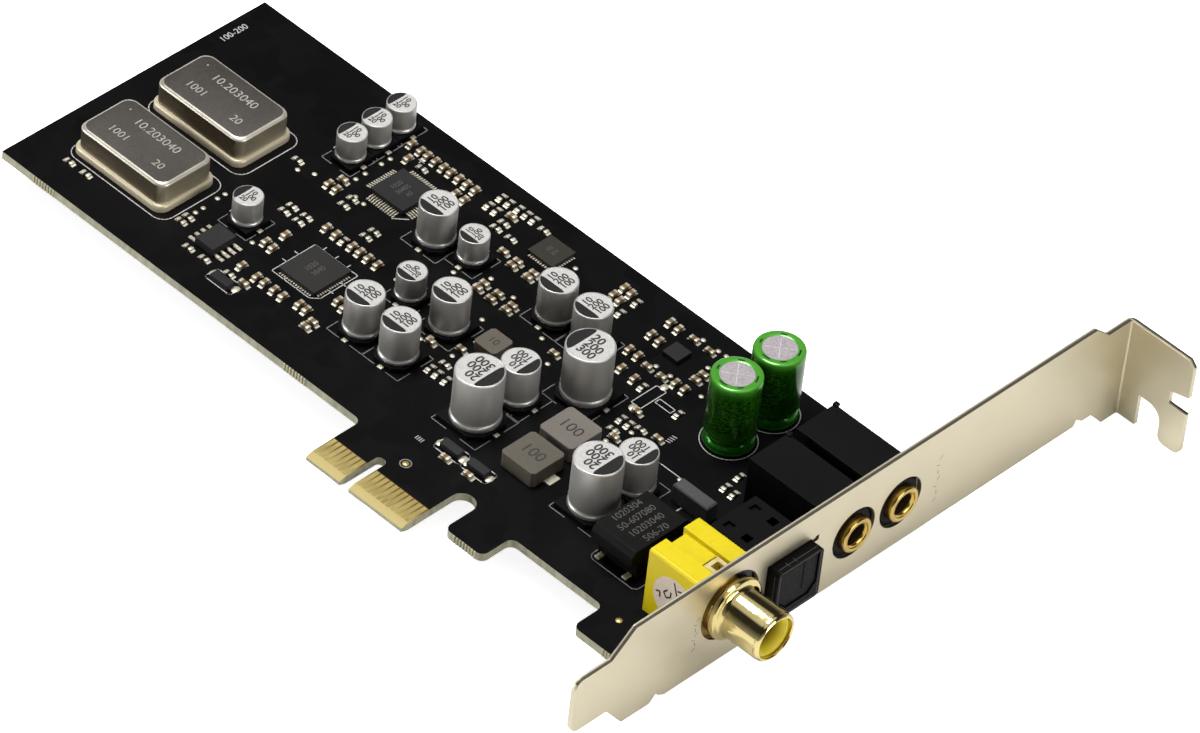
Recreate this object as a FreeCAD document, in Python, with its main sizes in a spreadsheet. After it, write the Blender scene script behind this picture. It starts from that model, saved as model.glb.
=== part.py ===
import FreeCAD, Part
import Sketcher
import math
import os
from FreeCAD import Placement, Rotation, Vector

# Sound card with an edge connector and a full-height bracket.
# +X points out through the bracket, +Y from the edge connector to the top edge,
# +Z from the solder side to the component side. The origin is the centre of the
# key notch, at the tongue's lower edge and half-way through the board.

doc = FreeCAD.newDocument("sound_card")

# Driving sizes in millimetres: name, value, meaning
SIZES = [
    ("board_thick", 1.57, "board thickness"),
    ("board_left", 87.2, "key notch to the far edge"),
    ("board_gap", 0.54, "board edge to the bracket"),
    ("board_top", 67.3, "tongue edge to the top edge"),
    ("board_shoulder", 11.5, "height of the edge left of the tongue"),
    ("notch_half", 0.95, "half of the key notch"),
    ("notch_deep", 8.2, "depth of the key notch"),
    ("short_section", 7.2, "tongue left of the notch"),
    ("long_section", 11.2, "tongue right of the notch"),
    ("slot_wide", 4.2, "relief slot beside the tongue"),
    ("slot_deep", 12.6, "top of the relief slot"),
    ("lug_wide", 7.9, "lug beside the relief slot"),
    ("lug_low", 4.7, "lower edge of the lug"),
    ("recess_top", 10.9, "upper edge of the recess"),
    ("foot_wide", 14.7, "foot of the board beside the bracket"),
    ("foot_low", 4.5, "lower edge by the bracket"),
    ("corner_round", 1.3, "rounding of the board's inner corners"),
    ("bevel_high", 1.3, "bevel on the tongue, along the board"),
    ("bevel_deep", 0.45, "bevel on the tongue, through the board"),
    ("pad_pitch", 1.0, "pitch of the edge contacts"),
    ("pad_wide", 0.7, "width of an edge contact"),
    ("pad_low", 1.4, "lower end of an edge contact"),
    ("pad_high", 5.6, "upper end of an edge contact"),
    ("pad_thick", 0.05, "thickness of an edge contact"),
    ("plate", 0.86, "sheet of the bracket"),
    ("face_out", 59.3, "key notch to the bracket's outer face"),
    ("strip_low", -3.1, "lower long edge of the bracket"),
    ("strip_high", 15.32, "upper long edge of the bracket"),
    ("tail_low", 1.3, "lower edge of the tail"),
    ("tail_high", 11.49, "upper edge of the tail"),
    ("tail_tip", -12.36, "tip of the tail"),
    ("tail_shoulder", -4.9, "where the tail starts"),
    ("taper_high", -0.3, "where the upper taper ends"),
    ("taper_low", -1.3, "where the lower taper ends"),
    ("tail_round", 1.8, "rounding of the tail"),
    ("seat_high", 106.8, "under side of the bent tab"),
    ("neck_start", 98.6, "where the upper edge steps down"),
    ("neck_end", 101.7, "end of the upper step"),
    ("neck_low_start", 100.4, "where the lower edge steps down"),
    ("neck_low_end", 103.3, "end of the lower step"),
    ("nick_near", 4.6, "first nick in the lower edge"),
    ("nick_far", 96.5, "second nick in the lower edge"),
    ("nick_deep", 1.3, "depth of a nick"),
    ("nick_slope", 1.1, "steep side of a nick"),
    ("nick_long", 2.9, "length of a nick"),
    ("nick_far_long", 1.9, "length of the second nick"),
    ("neck_low", -6.2, "lower edge above the step"),
    ("neck_high", 12.6, "upper edge above the step"),
    ("tab_out", 12.7, "reach of the bent tab from the outer face"),
    ("tab_clip", 1.1, "cut corner of the tab"),
    ("bend_out", 1.2, "outer radius of the bend"),
    ("bend_in", 0.34, "inner radius of the bend"),
    ("screw_slot_near", 3.55, "near side of the screw slot"),
    ("screw_slot_far", 8.1, "far side of the screw slot"),
    ("screw_slot_top", -0.2, "closed end of the screw slot"),
    ("side_slot_deep", 9.2, "closed end of the side slot"),
    ("side_slot_low", 2.1, "lower side of the side slot"),
    ("side_slot_high", 4.6, "upper side of the side slot"),
    ("ear_long", 7.0, "reach of the bent ears"),
    ("ear_wide", 4.6, "width of the bent ears"),
    ("ear_low_mid", 9.2, "centre of the lower ear"),
    ("ear_high_mid", 64.3, "centre of the upper ear"),
    ("ear_screw_in", 4.4, "ear screw to the inner face"),
    ("screw_hole_rad", 1.3, "hole for an ear screw"),
    ("screw_rad", 1.2, "shank of an ear screw"),
    ("screw_head_rad", 2.1, "head of an ear screw"),
    ("screw_head_high", 1.5, "height of the head"),
    ("screw_slot_wide", 0.7, "driver slot in the screw head"),
    ("screw_slot_sunk", 0.6, "depth of the driver slot"),
    ("nut_rad", 2.2, "corner radius of the nut"),
    ("nut_high", 1.6, "height of the nut"),
    ("phono_mid", 20.05, "centre line of the phono socket"),
    ("phono_axis", 7.2, "axis height of the phono socket"),
    ("phono_wide", 10.6, "width of the phono body"),
    ("phono_long", 11.1, "length of the phono body"),
    ("phono_high", 12.2, "height of the phono body"),
    ("phono_hole_rad", 6.0, "hole in the bracket"),
    ("phono_flange_rad", 5.3, "flange of the barrel"),
    ("phono_flange_out", 1.6, "flange face to the outer face"),
    ("phono_flange_thick", 1.4, "thickness of the flange"),
    ("phono_collar_rad", 4.6, "collar of the barrel"),
    ("phono_collar_out", 2.2, "end of the collar cone"),
    ("phono_rad", 4.15, "outside of the barrel"),
    ("phono_out", 9.3, "reach of the barrel"),
    ("phono_bore_rad", 3.45, "inside of the barrel"),
    ("phono_pin_rad", 1.65, "centre hole of the insulator"),
    ("phono_tube_rad", 2.1, "outside of the centre contact"),
    ("phono_face_in", 0.7, "insulator face behind the rim"),
    ("phono_tube_in", 3.2, "contact end behind the insulator face"),
    ("phono_rim_round", 0.4, "rounded rims of the barrel"),
    ("phono_boss_room", 1.1, "boss inside the bracket's hole"),
    ("phono_bite_deep", 2.6, "rear bite in the roof's channel"),
    ("phono_bite_long", 0.6, "length of the rear bite"),
    ("phono_pit_deep", 3.0, "pit round the earth clip"),
    ("phono_hook_in", 0.9, "pit to the bracket's inner face"),
    ("phono_hook_room", 0.2, "clip to the pit's sides"),
    ("phono_hook_foot", 0.5, "clip to the pit's rear"),
    ("phono_hook_arm", 0.7, "width of the clip's arms"),
    ("phono_hook_sunk", 0.4, "clip below the ridges"),
    ("phono_hook_thick", 0.4, "thickness of the clip"),
    ("phono_ridge_round", 0.5, "rounding of the ridges"),
    ("phono_tail", 6.0, "centre contact behind the bracket"),
    ("phono_blind", 2.0, "closed end of the centre contact"),
    ("phono_groove_wide", 3.7, "channel on the phono body"),
    ("phono_groove_deep", 0.8, "depth of the channel"),
    ("phono_hook_wide", 3.0, "earth clip across the body"),
    ("phono_hook_long", 3.4, "earth clip along the body"),
    ("optic_step", 12.65, "phono socket to optical socket"),
    ("optic_wide", 9.6, "width of the optical socket"),
    ("optic_low", 0.1, "lower side of the nose"),
    ("optic_high", 9.8, "top of the optical socket"),
    ("optic_long", 11.1, "optical socket behind the bracket"),
    ("optic_out", 2.1, "reach of the nose"),
    ("optic_round", 0.9, "rounding of the nose"),
    ("optic_room", 0.25, "window around the nose"),
    ("optic_notch", 0.8, "window beyond the far side of the nose"),
    ("optic_pit", 1.5, "square pit in the roof"),
    ("optic_pit_deep", 0.6, "depth of a pit"),
    ("optic_pit_back", 1.9, "rear pits to the rear wall"),
    ("optic_pit_step", 3.6, "rear pits to front pits"),
    ("optic_pit_half", 2.75, "pits to the centre line"),
    ("port_wide", 8.0, "width of the port"),
    ("port_low", 1.7, "lower side of the port"),
    ("port_high", 9.35, "upper side of the port"),
    ("port_deep", 9.4, "depth of the port"),
    ("port_clip", 1.6, "cut lower corners of the port"),
    ("door_gap", 0.15, "gap around the door"),
    ("door_rib_deep", 0.1, "rib on the door's face"),
    ("door_rib_side", 1.0, "rib off the door's middle"),
    ("door_rib_wide", 0.35, "width of the rib"),
    ("door_thick", 0.7, "thickness of the door"),
    ("door_in", 0.25, "door face behind the nose face"),
    ("door_pin_rad", 0.35, "hinge pin of the door"),
    ("door_pin_gap", 0.05, "running clearance of the pin"),
    ("door_pin_long", 0.45, "length of a hinge pin"),
    ("door_hinge_drop", 0.55, "hinge below the port's upper side"),
    ("jack_step", 13.93, "optical socket to the nearer audio socket"),
    ("jack_pitch", 10.13, "between the two audio sockets"),
    ("jack_wide", 8.3, "width of an audio socket"),
    ("jack_high", 9.2, "height of an audio socket"),
    ("jack_lip", 0.9, "latch stub at the rear corner"),
    ("jack_lip_over", 0.3, "stub beyond the side"),
    ("jack_lip_high", 0.5, "height of the stub"),
    ("jack_long", 17.24, "audio socket behind the bracket"),
    ("jack_axis", 5.385, "axis height of an audio socket"),
    ("jack_hole_rad", 4.5, "hole in the bracket"),
    ("jack_boss_rad", 4.0, "round boss of the housing"),
    ("jack_boss_in", 0.9, "boss face behind the outer face"),
    ("bush_rad", 3.05, "outside of the gold bush"),
    ("bush_bore_rad", 1.8, "bore of the gold bush"),
    ("bush_out", 0.9, "reach of the bush"),
    ("bush_edge", 0.35, "bevel of the bush rim"),
    ("bush_long", 3.6, "length of the bush"),
    ("jack_bore_deep", 14.0, "depth of the bore"),
    ("jack_bore_more", 0.25, "housing bore wider than the bush"),
    ("spring_long", 2.4, "contact tongue along the bore"),
    ("spring_wide", 1.2, "contact tongue across the bore"),
    ("spring_deep", 0.5, "contact tongue below the bore"),
    ("spring_high", 0.1, "contact tongue above the housing bore"),
    ("spring_room", 0.05, "clearance round a contact tongue"),
    ("can_from_face", 130.05, "oscillator cans to the bracket's outer face"),
    ("can_low_mid", 25.9, "lower oscillator can"),
    ("can_high_mid", 42.25, "upper oscillator can"),
    ("can_long", 19.0, "length of a can"),
    ("can_wide", 11.2, "width of a can"),
    ("can_high", 5.1, "height of a can"),
    ("can_round", 1.6, "corner radius of a can"),
    ("can_edge", 0.6, "rounded top edge of a can"),
    ("can_rim", 0.5, "rim around a can"),
    ("can_rim_thick", 1.2, "thickness of the rim"),
    ("small_cap_rad", 2.5, "small capacitor"),
    ("small_cap_high", 5.4, "height of a small capacitor"),
    ("mid_cap_rad", 3.2, "medium capacitor"),
    ("mid_cap_high", 7.7, "height of a medium capacitor"),
    ("large_cap_rad", 4.05, "large capacitor"),
    ("large_cap_high", 10.2, "height of a large capacitor"),
    ("cap_base_high", 0.9, "black base of a capacitor"),
    ("cap_base_over", 0.15, "base beyond the can"),
    ("cap_lead_long", 0.7, "lead beyond the base"),
    ("cap_lead_wide", 0.9, "width of a lead"),
    ("cap_lead_thick", 0.25, "thickness of a lead"),
    ("tall_cap_rad", 4.1, "tall capacitor"),
    ("tall_cap_high", 13.4, "height of a tall capacitor"),
    ("tall_cap_neck", 1.9, "height of the neck"),
    ("tall_cap_neck_deep", 0.55, "depth of the neck"),
    ("tall_cap_lip", 1.2, "width of the sleeve's lip"),
    ("tall_cap_edge", 0.5, "rounded top edge of the sleeve"),
    ("tall_cap_neck_half", 0.7, "half height of the bead"),
    ("tall_cap_top_in", 0.3, "top disc below the lip"),
    ("coil_wide", 7.0, "large inductor"),
    ("coil_high", 2.8, "height of a large inductor"),
    ("coil_small_wide", 4.5, "small inductor"),
    ("coil_small_high", 2.0, "height of the small inductor"),
    ("coil_edge", 0.5, "cut edges of an inductor"),
    ("coil_end", 2.3, "width of an inductor's terminal"),
    ("coil_end_out", 1.4, "silver end beyond a large inductor"),
    ("coil_end_thick", 0.35, "thickness of an inductor's end"),
    ("trafo_from_face", 25.2, "transformer to the bracket's outer face"),
    ("trafo_from_low", 17.0, "transformer to the tongue's lower edge"),
    ("trafo_ledge", 1.6, "lid beyond the foot on the long ends"),
    ("trafo_side", 0.3, "lid beyond the foot at the sides"),
    ("trafo_slope", 0.8, "slope at the lid's ends"),
    ("trafo_foot", 0.9, "width of a foot"),
    ("trafo_foot_long", 1.4, "length of a foot"),
    ("trafo_foot_in", 1.4, "foot from the end"),
    ("trafo_wide", 8.4, "transformer along the board"),
    ("trafo_deep", 12.3, "transformer across the board"),
    ("trafo_step", 3.2, "height of the foot under the lid"),
    ("trafo_high", 6.0, "height of the transformer"),
    ("film_from_face", 25.6, "film block to the bracket's outer face"),
    ("film_from_low", 34.7, "film block to the tongue's lower edge"),
    ("film_wide", 7.2, "film block length"),
    ("film_deep", 2.4, "film block width"),
    ("film_high", 3.3, "film block height"),
    ("lead_wide", 0.6, "through-hole lead end"),
    ("lead_out", 1.2, "lead end below the board"),
    ("chip_off", 0.05, "chip body above the board"),
    ("leg_pitch", 0.5, "pitch of the fine chip leads"),
    ("leg_wide", 0.24, "width of a fine lead"),
    ("leg_long", 1.0, "reach of a chip lead"),
    ("leg_thick", 0.3, "height of a chip lead"),
    ("big_leg_pitch", 1.27, "pitch of the coarse chip leads"),
    ("big_leg_wide", 0.45, "width of a coarse lead"),
    ("diode_long", 3.8, "length of a diode with its ends"),
    ("diode_wide", 1.6, "width of a diode"),
    ("diode_high", 1.0, "height of a diode"),
    ("chip_long", 1.6, "small component length"),
    ("chip_wide", 0.85, "small component width"),
    ("ceramic_high", 0.8, "ceramic capacitor height"),
    ("resistor_high", 0.45, "chip resistor height"),
]

sheet = doc.addObject("Spreadsheet::Sheet", "sizes")
for line, (alias, amount, meaning) in enumerate(SIZES, 1):
    sheet.set("A%d" % line, meaning)
    sheet.set("B%d" % line, str(amount))
    sheet.setAlias("B%d" % line, alias)
doc.recompute()


class Size:
    """A length that knows both its value and its sheet formula."""

    def __init__(self, amount, formula):
        self.amount = amount
        self.formula = formula

    def __add__(self, other):
        other = sized(other)
        return Size(self.amount + other.amount, "(%s + %s)" % (self.formula, other.formula))

    def __radd__(self, other):
        return sized(other) + self

    def __sub__(self, other):
        other = sized(other)
        return Size(self.amount - other.amount, "(%s - %s)" % (self.formula, other.formula))

    def __rsub__(self, other):
        return sized(other) - self

    def __mul__(self, other):
        other = sized(other)
        return Size(self.amount * other.amount, "(%s * %s)" % (self.formula, other.formula))

    def __rmul__(self, other):
        return sized(other) * self

    def __truediv__(self, other):
        other = sized(other)
        return Size(self.amount / other.amount, "(%s / %s)" % (self.formula, other.formula))

    def __neg__(self):
        return sized(0) - self


def sized(value):
    if isinstance(value, Size):
        return value
    return Size(float(value), "(%r)" % float(value))


class Sheet:
    """Reads a driving size by its name."""

    def __getattr__(self, alias):
        return Size(float(sheet.get(alias)), "sizes." + alias)


s = Sheet()
NODES = []


# Building helpers

def bind(obj, **sizes):
    for name, value in sizes.items():
        obj.setExpression(name, sized(value).formula)


def put(obj, x, y, z, turn=None):
    if turn is not None:
        obj.Placement = Placement(Vector(0, 0, 0), turn)
    for axis, value in (("x", x), ("y", y), ("z", z)):
        obj.setExpression("Placement.Base." + axis, sized(value).formula)
    return obj


def box(name, x, y, z, length, width, height):
    obj = doc.addObject("Part::Box", name)
    bind(obj, Length=length, Width=width, Height=height)
    return put(obj, x, y, z)


def rod(name, x, y, z, radius, length, along="z"):
    obj = doc.addObject("Part::Cylinder", name)
    bind(obj, Radius=radius, Height=length)
    return put(obj, x, y, z, TURNS[along])


def cone(name, x, y, z, first, last, length, along="z"):
    obj = doc.addObject("Part::Cone", name)
    bind(obj, Radius1=first, Radius2=last, Height=length)
    return put(obj, x, y, z, TURNS[along])


TURNS = {
    "x": Rotation(Vector(0, 1, 0), 90),
    "y": Rotation(Vector(1, 0, 0), -90),
    "z": Rotation(),
}


def fuse(name, parts):
    obj = doc.addObject("Part::MultiFuse", name)
    obj.Shapes = parts
    obj.Refine = True
    return obj


def cut(name, base, tools):
    obj = doc.addObject("Part::Cut", name)
    obj.Base = base
    obj.Tool = tools[0] if len(tools) == 1 else fuse(name + "_tools", tools)
    obj.Refine = True
    return obj


def edged(kind, name, base, size, wanted):
    """Rounds or cuts the edges of base whose box satisfies wanted."""
    doc.recompute()
    obj = doc.addObject("Part::" + kind, name)
    obj.Base = base
    picks = [k for k, e in enumerate(base.Shape.Edges, 1) if wanted(e.BoundBox, e)]
    obj.Edges = [(k, size.amount, size.amount) for k in picks]
    return obj


def node(obj, label):
    obj.Label = label
    NODES.append(obj)
    return obj


def group(label, shapes):
    """Identical small pieces in one node, as separate solids."""
    obj = doc.addObject("Part::Feature", label)
    obj.Shape = Part.makeCompound(shapes)
    return node(obj, label)


def block(x, y, z, length, width, height):
    """A plain solid block centred on x and y, standing on z."""
    return Part.makeBox(length, width, height, Vector(x - length / 2, y - width / 2, z))


def body_plane(body, role):
    for feature in body.Origin.OriginFeatures:
        if feature.Role == role:
            return feature


def outline(body, name, role, loops, offset=0):
    """A sketch of closed loops whose corners are tied to the sheet."""
    sketch = body.newObject("Sketcher::SketchObject", name)
    sketch.AttachmentSupport = (body_plane(body, role), [""])
    sketch.MapMode = "FlatFace"
    sketch.setExpression("AttachmentOffset.Base.z", sized(offset).formula)
    for loop in loops:
        if len(loop) == 3 and loop[0] == "circle":
            (across, up), radius = loop[1], loop[2]
            k = sketch.addGeometry(Part.Circle(
                Vector(across.amount, up.amount, 0), Vector(0, 0, 1), radius.amount))
            tie(sketch, "Radius", (k,), radius)
            tie(sketch, "DistanceX", (-1, 1, k, 3), across)
            tie(sketch, "DistanceY", (-1, 1, k, 3), up)
            continue
        corners = [(sized(a), sized(b)) for a, b in loop]
        first = sketch.GeometryCount
        total = len(corners)
        for k in range(total):
            start = corners[k]
            end = corners[(k + 1) % total]
            sketch.addGeometry(Part.LineSegment(
                Vector(start[0].amount, start[1].amount, 0),
                Vector(end[0].amount, end[1].amount, 0)))
        for k in range(total):
            joint = Sketcher.Constraint("Coincident", first + k, 2, first + (k + 1) % total, 1)
            sketch.addConstraint(joint)
            tie(sketch, "DistanceX", (-1, 1, first + k, 1), corners[k][0])
            tie(sketch, "DistanceY", (-1, 1, first + k, 1), corners[k][1])
    return sketch


def tie(sketch, kind, geometry, size):
    """Adds one dimension to a sketch and binds it to the sheet."""
    k = sketch.addConstraint(Sketcher.Constraint(kind, *geometry, size.amount))
    sketch.setExpression("Constraints[%d]" % k, size.formula)


def grow(body, kind, name, sketch, length, reverse=False):
    feature = body.newObject("PartDesign::" + kind, name)
    feature.Profile = sketch
    feature.Reversed = reverse
    feature.setExpression("Length", sized(length).formula)
    body.Tip = feature
    return feature


def dress(body, kind, name, base, size, wanted):
    """Rounds or cuts body edges chosen by their place."""
    doc.recompute()
    feature = body.newObject("PartDesign::" + kind, name)
    picks = ["Edge%d" % k for k, e in enumerate(base.Shape.Edges, 1) if wanted(e.BoundBox, e)]
    feature.Base = (base, picks)
    feature.setExpression("Radius" if kind == "Fillet" else "Size", size.formula)
    body.Tip = feature
    return feature


def near(value, target, room=0.02):
    return abs(value - target) < room


def upright(b):
    """True for a straight edge through the board's thickness."""
    return near(b.XLength, 0) and near(b.YLength, 0) and b.ZLength > 0.3


top = s.board_thick / 2
under = -top
optic_mid = s.phono_mid + s.optic_step
jack_near = optic_mid + s.jack_step
jack_far = jack_near + s.jack_pitch
face_x = s.face_out.amount


# Circuit board

def board():
    body = doc.addObject("PartDesign::Body", "board_body")
    tongue_left = -s.notch_half - s.short_section
    tongue_right = s.notch_half + s.long_section
    slot_right = tongue_right + s.slot_wide
    lug_right = slot_right + s.lug_wide
    inner = s.face_out - s.plate
    right = inner - s.board_gap
    foot = right - s.foot_wide
    corners = [
        (-s.board_left, s.board_shoulder),
        (tongue_left, s.board_shoulder),
        (tongue_left, 0),
        (-s.notch_half, 0),
        (-s.notch_half, s.notch_deep),
        (s.notch_half, s.notch_deep),
        (s.notch_half, 0),
        (tongue_right, 0),
        (tongue_right, s.slot_deep),
        (slot_right, s.slot_deep),
        (slot_right, s.lug_low),
        (lug_right, s.lug_low),
        (lug_right, s.recess_top),
        (foot, s.recess_top),
        (foot, s.foot_low),
        (right, s.foot_low),
        (right, s.board_top),
        (-s.board_left, s.board_top),
    ]
    screw_x = inner - s.ear_screw_in
    holes = [("circle", (screw_x, mid), s.screw_hole_rad) for mid in (s.ear_low_mid, s.ear_high_mid)]
    sketch = outline(body, "board_outline", "XY_Plane", [corners] + holes, under)
    slab = grow(body, "Pad", "board_slab", sketch, s.board_thick)

    def slot_corner(b, e):
        return upright(b) and near(b.YMin, s.slot_deep.amount)

    slot = dress(body, "Fillet", "slot_rounding", slab, (s.slot_wide / 2) * 0.98, slot_corner)
    points = [
        (tongue_left, s.board_shoulder),
        (lug_right, s.recess_top),
        (foot, s.recess_top),
        (foot, s.foot_low),
        (lug_right, s.lug_low),
        (slot_right, s.lug_low),
    ]
    places = [(a.amount, b.amount) for a, b in points]

    def turned(b, e):
        return upright(b) and any(near(b.XMin, a) and near(b.YMin, c) for a, c in places)

    soft = dress(body, "Fillet", "corner_rounding", slot, s.corner_round, turned)

    def notch_corner(b, e):
        return upright(b) and near(b.YMin, s.notch_deep.amount)

    keyed = dress(body, "Fillet", "notch_rounding", soft, s.notch_half * 0.9, notch_corner)
    for side, z in (("front", 1), ("back", -1)):
        wedge = outline(body, "bevel_" + side, "YZ_Plane", [[
            (-0.5, top * z),
            (s.bevel_high, top * z),
            (0, (top - s.bevel_deep) * z),
            (-0.5, (top - s.bevel_deep) * z),
        ]], tongue_left - 1)
        grow(body, "Pocket", "bevel_cut_" + side, wedge, tongue_right - tongue_left + 2, True)
    return node(body, "circuit_board")


def contacts():
    """Eighteen gold contacts on each face of the tongue."""
    pitch = s.pad_pitch.amount
    first_long = s.notch_half.amount + 0.6
    first_short = -s.notch_half.amount - 0.6
    places = [first_short - k * pitch for k in range(7)] + [first_long + k * pitch for k in range(11)]
    low = s.pad_low.amount
    high = s.pad_high.amount
    shapes = []
    for z in (top.amount, under.amount - s.pad_thick.amount):
        for x in places:
            shapes.append(block(x, (low + high) / 2, z, s.pad_wide.amount, high - low, s.pad_thick.amount))
    return group("edge_contacts", shapes)


# Bracket

def bracket():
    body = doc.addObject("PartDesign::Body", "bracket_body")
    inner = s.face_out - s.plate
    tab_top = s.seat_high + s.plate
    strip = [
        (s.tail_tip, s.tail_low),
        (s.tail_shoulder, s.tail_low),
        (s.taper_low, s.strip_low),
        (s.nick_near, s.strip_low),
        (s.nick_near + s.nick_slope, s.strip_low + s.nick_deep),
        (s.nick_near + s.nick_long * 0.6, s.strip_low + s.nick_deep / 2),
        (s.nick_near + s.nick_long, s.strip_low),
        (s.nick_far, s.strip_low),
        (s.nick_far + s.nick_slope / 2, s.strip_low + s.nick_deep * 0.8),
        (s.nick_far + s.nick_far_long, s.strip_low),
        (s.neck_low_start, s.strip_low),
        (s.neck_low_end, s.neck_low),
        (tab_top, s.neck_low),
        (tab_top, s.neck_high),
        (s.neck_end, s.neck_high),
        (s.neck_start, s.strip_high),
        (s.taper_high, s.strip_high),
        (s.tail_shoulder, s.tail_high),
        (s.tail_tip, s.tail_high),
    ]
    near_side = optic_mid - s.optic_wide / 2 - s.optic_room
    far_side = optic_mid + s.optic_wide / 2 + s.optic_room
    window = [
        (near_side, s.optic_low - s.optic_room),
        (far_side, s.optic_low - s.optic_room),
        (far_side, s.optic_high - s.optic_notch),
        (far_side + s.optic_notch, s.optic_high - s.optic_notch),
        (far_side + s.optic_notch, s.optic_high + s.optic_room),
        (near_side, s.optic_high + s.optic_room),
    ]
    rounds = [
        ("circle", (s.phono_mid, s.phono_axis), s.phono_hole_rad),
        ("circle", (jack_near, s.jack_axis), s.jack_hole_rad),
        ("circle", (jack_far, s.jack_axis), s.jack_hole_rad),
    ]
    sketch = outline(body, "strip_outline", "YZ_Plane", [strip, window] + rounds, inner)
    pad = grow(body, "Pad", "strip_pad", sketch, s.plate)
    end = s.face_out + s.tab_out
    tab = [
        (inner, s.neck_low),
        (s.face_out + s.screw_slot_near, s.neck_low),
        (s.face_out + s.screw_slot_near, s.screw_slot_top),
        (s.face_out + s.screw_slot_far, s.screw_slot_top),
        (s.face_out + s.screw_slot_far, s.neck_low),
        (end, s.neck_low),
        (end, s.side_slot_low),
        (s.face_out + s.side_slot_deep, s.side_slot_low),
        (s.face_out + s.side_slot_deep, s.side_slot_high),
        (end, s.side_slot_high + 0.9),
        (end, s.neck_high - s.tab_clip),
        (end - s.tab_clip, s.neck_high),
        (inner, s.neck_high),
    ]
    tab_sketch = outline(body, "tab_outline", "XZ_Plane", [tab], -tab_top)
    pad = grow(body, "Pad", "tab_pad", tab_sketch, s.plate)
    ears = []
    for mid in (s.ear_low_mid, s.ear_high_mid):
        ears.append([
            (inner - s.ear_long, mid - s.ear_wide / 2),
            (inner + s.plate / 2, mid - s.ear_wide / 2),
            (inner + s.plate / 2, mid + s.ear_wide / 2),
            (inner - s.ear_long, mid + s.ear_wide / 2),
        ])
        ears.append(("circle", (inner - s.ear_screw_in, mid), s.screw_hole_rad))
    ear_sketch = outline(body, "ear_outline", "XY_Plane", ears, top)
    pad = grow(body, "Pad", "ear_pad", ear_sketch, s.plate)

    def slot_far(b, e):
        return near(b.XMin, (s.face_out + s.screw_slot_far).amount) and near(b.XLength, 0) \
            and near(b.ZMin, s.screw_slot_top.amount) and near(b.ZLength, 0) and near(b.YLength, s.plate.amount)

    pad = dress(body, "Fillet", "screw_slot_rounding", pad, (s.screw_slot_far - s.screw_slot_near) * 0.6, slot_far)

    def finger(b, e):
        outer = near(b.XMin, end.amount) or near(b.XMin, (s.face_out + s.screw_slot_far).amount)
        return outer and near(b.XLength, 0) and near(b.ZMin, s.neck_low.amount) \
            and near(b.ZLength, 0) and near(b.YLength, s.plate.amount)

    pad = dress(body, "Fillet", "finger_rounding", pad, s.plate * 1.6, finger)

    def tail(b, e):
        return near(b.YMin, s.tail_tip.amount) and near(b.XLength, s.plate.amount) and near(b.YLength, 0)

    pad = dress(body, "Fillet", "tail_rounding", pad, s.tail_round, tail)

    def bend_in(b, e):
        return near(b.XMin, s.face_out.amount) and near(b.YMin, s.seat_high.amount) \
            and b.ZLength > 10 and near(b.XLength, 0) and near(b.YLength, 0)

    def bend_out(b, e):
        return near(b.XMin, inner.amount) and near(b.YMin, tab_top.amount) and b.ZLength > 10 \
            and near(b.XLength, 0) and near(b.YLength, 0)

    pad = dress(body, "Fillet", "bend_inside", pad, s.bend_in, bend_in)
    pad = dress(body, "Fillet", "bend_outside", pad, s.bend_out, bend_out)
    return node(body, "mounting_bracket")


def ear_fasteners():
    """One screw and one nut at each ear."""
    x = (s.face_out - s.plate - s.ear_screw_in).amount
    seat = (top + s.plate).amount
    screws = []
    nuts = []
    for mid in (s.ear_low_mid.amount, s.ear_high_mid.amount):
        length = seat - under.amount + s.nut_high.amount
        low = under.amount - s.nut_high.amount
        shank = Part.makeCylinder(s.screw_rad.amount, length, Vector(x, mid, low))
        head = Part.makeCylinder(s.screw_head_rad.amount, s.screw_head_high.amount, Vector(x, mid, seat))
        crest = seat + s.screw_head_high.amount
        slot = block(x, mid, crest - s.screw_slot_sunk.amount, s.screw_slot_wide.amount,
                     s.screw_head_rad.amount * 2 + 1, 1)
        screws.append(shank.fuse(head).cut(slot).removeSplitter())
        ring = []
        for k in range(7):
            a = math.radians(60 * k)
            ring.append(Vector(x + s.nut_rad.amount * math.cos(a), mid + s.nut_rad.amount * math.sin(a), low))
        nut = Part.Face(Part.makePolygon(ring)).extrude(Vector(0, 0, s.nut_high.amount))
        nuts.append(nut.cut(Part.makeCylinder(s.screw_rad.amount, length, Vector(x, mid, low - 0.1))))
    group("bracket_screws", screws)
    return group("bracket_nuts", nuts)


# Phono socket

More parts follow.
